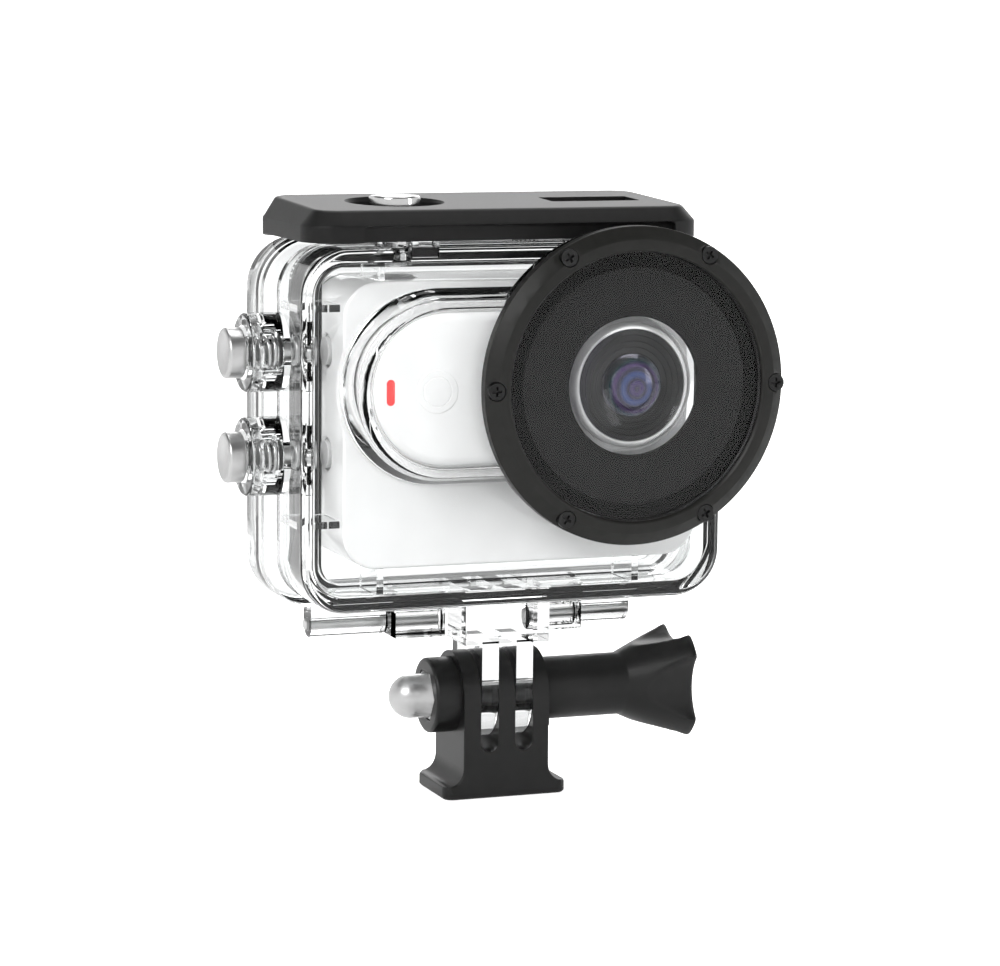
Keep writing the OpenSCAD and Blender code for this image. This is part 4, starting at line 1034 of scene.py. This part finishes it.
def make_latch(finishes):
    """Metal latch plate: bevelled all round, a hollow underside, a hook at the back and hinge knuckles."""
    low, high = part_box("latch_plate")
    pin, pin_x0, pin_x1, pin_r = disc_points("latch_pin", "x")
    corner_r, wall, bevel = 6 * MM, 2 * MM, 2.3 * MM
    bevel_z, edge_z, leg_z, rise = 98.6 * MM, 101 * MM, 95.8 * MM, 1 / 27
    hook_y = high.y - 4.8 * MM

    def solid(rows):
        """rows are (inset, height, whether the height follows the sloping top)"""
        bm = bmesh.new()
        loops = []
        for grow, z, sloped in rows:
            outline = rounded_loop(low.x + grow, high.x - grow, low.y + grow, high.y - grow,
                                   corner_r - grow, 12)
            loops.append([Vector((x, y, z + (rise * (y - low.y - bevel) if sloped else 0)))
                          for x, y in outline])
        loft(bm, loops)
        return object_from(bm, "plate")

    plate = solid([(0, low.z, False), (0, bevel_z - 0.25 * MM, False), (0.08 * MM, bevel_z, False),
                   (0.3 * MM, bevel_z + 0.25 * MM, False), (bevel - 0.35 * MM, edge_z - 0.35 * MM, True),
                   (bevel - 0.05 * MM, edge_z - 0.1 * MM, True), (bevel + 0.4 * MM, edge_z, True)])
    plate.name = "Latch_Plate"
    combine(plate, "DIFFERENCE", solid([(wall, low.z - 1 * MM, False), (wall, bevel_z - 0.8 * MM, False),
                                        (wall + bevel * 0.7, edge_z - wall, True)]))
    knuckles = []
    for x0, x1 in ((-26.8, -20.7), (-14.7, -9), (3.8, 8.7), (14.7, 20.6)):
        x0, x1 = x0 * MM, x1 * MM
        barrel = solid_rod("x", x0, x1, pin, LUG_R, 0.15 * MM, 48)
        knuckles.append(combine(barrel, "UNION", solid_box(x0, x1, pin.y - 1.6 * MM, pin.y + 1.6 * MM, pin.z,
                                                           edge_z - wall + 0.5 * MM)))
    sunk = 0.03 * MM
    hook = solid([(sunk, low.z + sunk, False), (sunk, bevel_z - 0.4 * MM, False),
                  (wall - sunk, bevel_z + 0.6 * MM, False)])
    combine(hook, "DIFFERENCE", solid_box(low.x - 1 * MM, high.x + 1 * MM, low.y - 1 * MM, hook_y,
                                          low.z - 1 * MM, edge_z))
    combine(plate, "UNION", [hook] + knuckles)
    front = solid_box(-29 * MM, 26 * MM, low.y - 1 * MM, low.y + 1.95 * MM, low.z - 1 * MM, bevel_z,
                      0.9 * MM)
    under = solid_box(low.x - 1 * MM, high.x + 1 * MM, low.y - 1 * MM, hook_y, low.z - 1 * MM, leg_z)
    back = solid_box(low.x - 1 * MM, high.x + 1 * MM, -0.5 * MM, 12 * MM, -12 * MM, 0)
    ramp_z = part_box("rear_door")[1].z + 0.4 * MM
    back.data.transform(Matrix.Translation((0, hook_y, ramp_z)) @ RAMP_TURN)
    button, _, _, _ = disc_points("shutter_button", "z")
    hole_r, lead_in = 8.1 * MM, 0.6 * MM
    hole = lathe("hole", [(0, leg_z), (hole_r, leg_z), (hole_r, edge_z + 0.05 * MM),
                          (hole_r + lead_in, edge_z + 0.95 * MM), (hole_r + lead_in, edge_z + 3 * MM),
                          (0, edge_z + 3 * MM)], button, "z", 96)
    slot = solid_box(8.5 * MM, 24.5 * MM, -4.3 * MM, 2.7 * MM, edge_z - 4 * MM, edge_z + 4 * MM, 0.5 * MM)
    bore = solid_rod("x", pin_x0 - 1 * MM, pin_x1 + 1 * MM, pin, pin_r + 0.08 * MM, 0, 32)
    combine(plate, "DIFFERENCE", [front, under, back, hole, slot, bore])
    tidy_edges(plate, angle=math.radians(28))
    finish_piece(plate, "latch", "plate_metal", finishes, ["latch_plate"])


# ---- adapter base ----

def make_base(finishes):
    """Three-prong adapter with a flared foot, slots with round floors and a boss for the nut."""
    low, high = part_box("mount_base")
    bolt, _, _, _ = disc_points("thumb_bolt", "x")
    _, _, nut_x1, _ = disc_points("cap_nut", "x")
    half_x, reach, foot_h, flare_x, soft = 7.7 * MM, 7.5 * MM, 2.3 * MM, 3 * MM, 0.35 * MM
    slot_w, pitch, slot_z, nut_r = 3.2 * MM, 6.2 * MM, 8 * MM, 4.68 * MM

    def level(half_w, half_d, r, z):
        return [Vector((x, y, z)) for x, y in rounded_loop(-half_w, half_w, -half_d, half_d, r, 8)]

    def solid(loops):
        bm = bmesh.new()
        loft(bm, loops)
        return object_from(bm, "part")

    foot_w, foot_d, foot_r = high.x, high.y, 1.8 * MM
    rows = ((0.3, 0), (0, 0.3 * MM), (0, foot_h - 0.5 * MM), (0.15, foot_h - 0.15 * MM), (0.5, foot_h))
    base = solid([level(foot_w - step * MM, foot_d - step * MM, foot_r - step * MM, z) for step, z in rows])
    base.name = "Adapter_Base"
    spread, depth = flare_x - 0.4 * MM, reach - 0.02 * MM
    flare = [level(half_x + spread, depth, soft + 0.2 * MM, foot_h - 1 * MM)]
    for i in range(9):
        a = TURN / 4 * i / 8
        drop = 1 - math.sin(a)
        flare.append(level(half_x + spread * drop, depth, soft + 0.2 * MM * drop,
                           foot_h - 0.01 * MM + flare_x * (1 - math.cos(a))))
    flare.append(level(half_x, depth, soft, bolt.z - 4 * MM))
    turns = [TURN / 2 * i / 48 for i in range(49)]
    dome = [(0, reach * math.cos(a), bolt.z + reach * math.sin(a)) for a in turns]
    outline = dome + [(0, -reach, bolt.z - 5 * MM), (0, reach, bolt.z - 5 * MM)]
    adds = [solid(flare), solid_slab("x", -half_x, half_x, outline),
            solid_rod("x", low.x, -half_x + 1 * MM, bolt, 6.45 * MM, 0.6 * MM, 96)]
    cuts = []
    half, above = slot_w / 2, 40 * MM
    for side in (-1, 1):
        x = side * pitch / 2
        turns = [TURN / 2 * i / 24 for i in range(25)]
        slot = [(x + half * math.cos(a), 0, slot_z + half - half * math.sin(a)) for a in turns]
        slot += [(x - half, 0, above), (x + half, 0, above)]
        cuts.append(solid_slab("y", -20 * MM, 20 * MM, slot))
    hexagon = [(0, bolt.y + nut_r * math.cos(TURN * i / 6), bolt.z + nut_r * math.sin(TURN * i / 6))
               for i in range(6)]
    cuts += [solid_rod("x", low.x - 1 * MM, half_x + 1 * MM, bolt, BOLT_BORE_R),
             solid_slab("x", low.x - 1 * MM, nut_x1 + 0.02 * MM, hexagon),
             solid_rod("z", -1 * MM, 6.2 * MM, Vector((0, 0, 0)), 4.41 * MM)]
    combine(base, "UNION", adds)
    combine(base, "DIFFERENCE", cuts)
    tidy_edges(base, 0.3 * MM, 3)
    finish_piece(base, "adapter", "black_plastic", finishes, ["mount_base"])


# ---- CAD nodes that keep their shape, and those that get rounded edges ----

NODE_FINISH = {
    "steel_dark": ["thumb_bolt"],
    "rubber_black": ["port_o_ring", "shutter_o_ring", "side_o_rings"],
    "spring_steel": ["shutter_clip", "side_clip_upper", "side_clip_lower"],
    "display_panel": ["pod_display_panel"], "battery_wrap": ["pod_battery", "camera_battery"],
    "circuit_board": ["pod_main_board", "camera_board", "sensor_board"], "gold_contact": ["pod_contacts"],
    "black_plastic": ["pod_speaker"], "sensor": ["image_sensor"],
    "lens_black": ["lens_barrel", "lens_inner_elements"], "white_plastic": ["camera_back_shell"],
}

# Piece name, CAD node, body, slot and finish, edge rounding in millimetres
ROUNDED = [
    ("Port_Ring", "port_ring", "case", "ring_metal", 0.12),
    ("Port_Screws", "port_screws", "case", "steel_dark", 0.08),
    ("Door_Seal", "door_seal", "door", "rubber_black", 0.25),
    ("Door_Pads", "door_pads", "door", "rubber_pale", 0.25),
    ("Lock_Slider", "lock_slider", "lock", "black_plastic", 0.1),
    ("Pod_Front_Shell", "pod_front_shell", "case", "white_plastic", 0.5),
    ("Pod_Back_Frame", "pod_back_frame", "case", "white_plastic", 0.3),
    ("Pod_Display_Glass", "pod_display_glass", "case", "display_glass", 0.1),
    ("Pod_Top_Button", "pod_top_button", "pod_top", "grey_plastic", 0.15),
    ("Pod_Side_Button_Upper", "pod_side_button_upper", "pod_side_up", "grey_plastic", 0.12),
    ("Pod_Side_Button_Lower", "pod_side_button_lower", "pod_side_low", "grey_plastic", 0.12),
]


def main():
    make_camera()
    make_lights()
    make_stage()
    finishes = make_materials()
    # the lens finish: dark coated glass with painted reflections in its colour
    finishes["lens_coat_and_painted_reflections"] = lens_coat_and_painted_reflections()
    for finish, nodes in NODE_FINISH.items():
        for node in nodes:
            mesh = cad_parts[node].data
            mesh.materials.clear()
            mesh.materials.append(finishes[finish])
    for name, node, body, finish, width in ROUNDED:
        rounded_copy(name, node, body, finish, finishes, width * MM)
    make_front_shell(finishes)
    make_door(finishes)
    make_latch(finishes)
    make_base(finishes)
    make_knob(finishes)
    make_cap_nut(finishes)
    make_thread(finishes)
    make_side_button(finishes, "Side_Button_Upper", "side_button_upper", "side_spring_upper", "side_upper")
    make_side_button(finishes, "Side_Button_Lower", "side_button_lower", "side_spring_lower", "side_lower")
    make_shutter(finishes)
    make_pins(finishes)
    make_camera_body(finishes)
    make_lens(finishes)
    make_hood(finishes)


main()
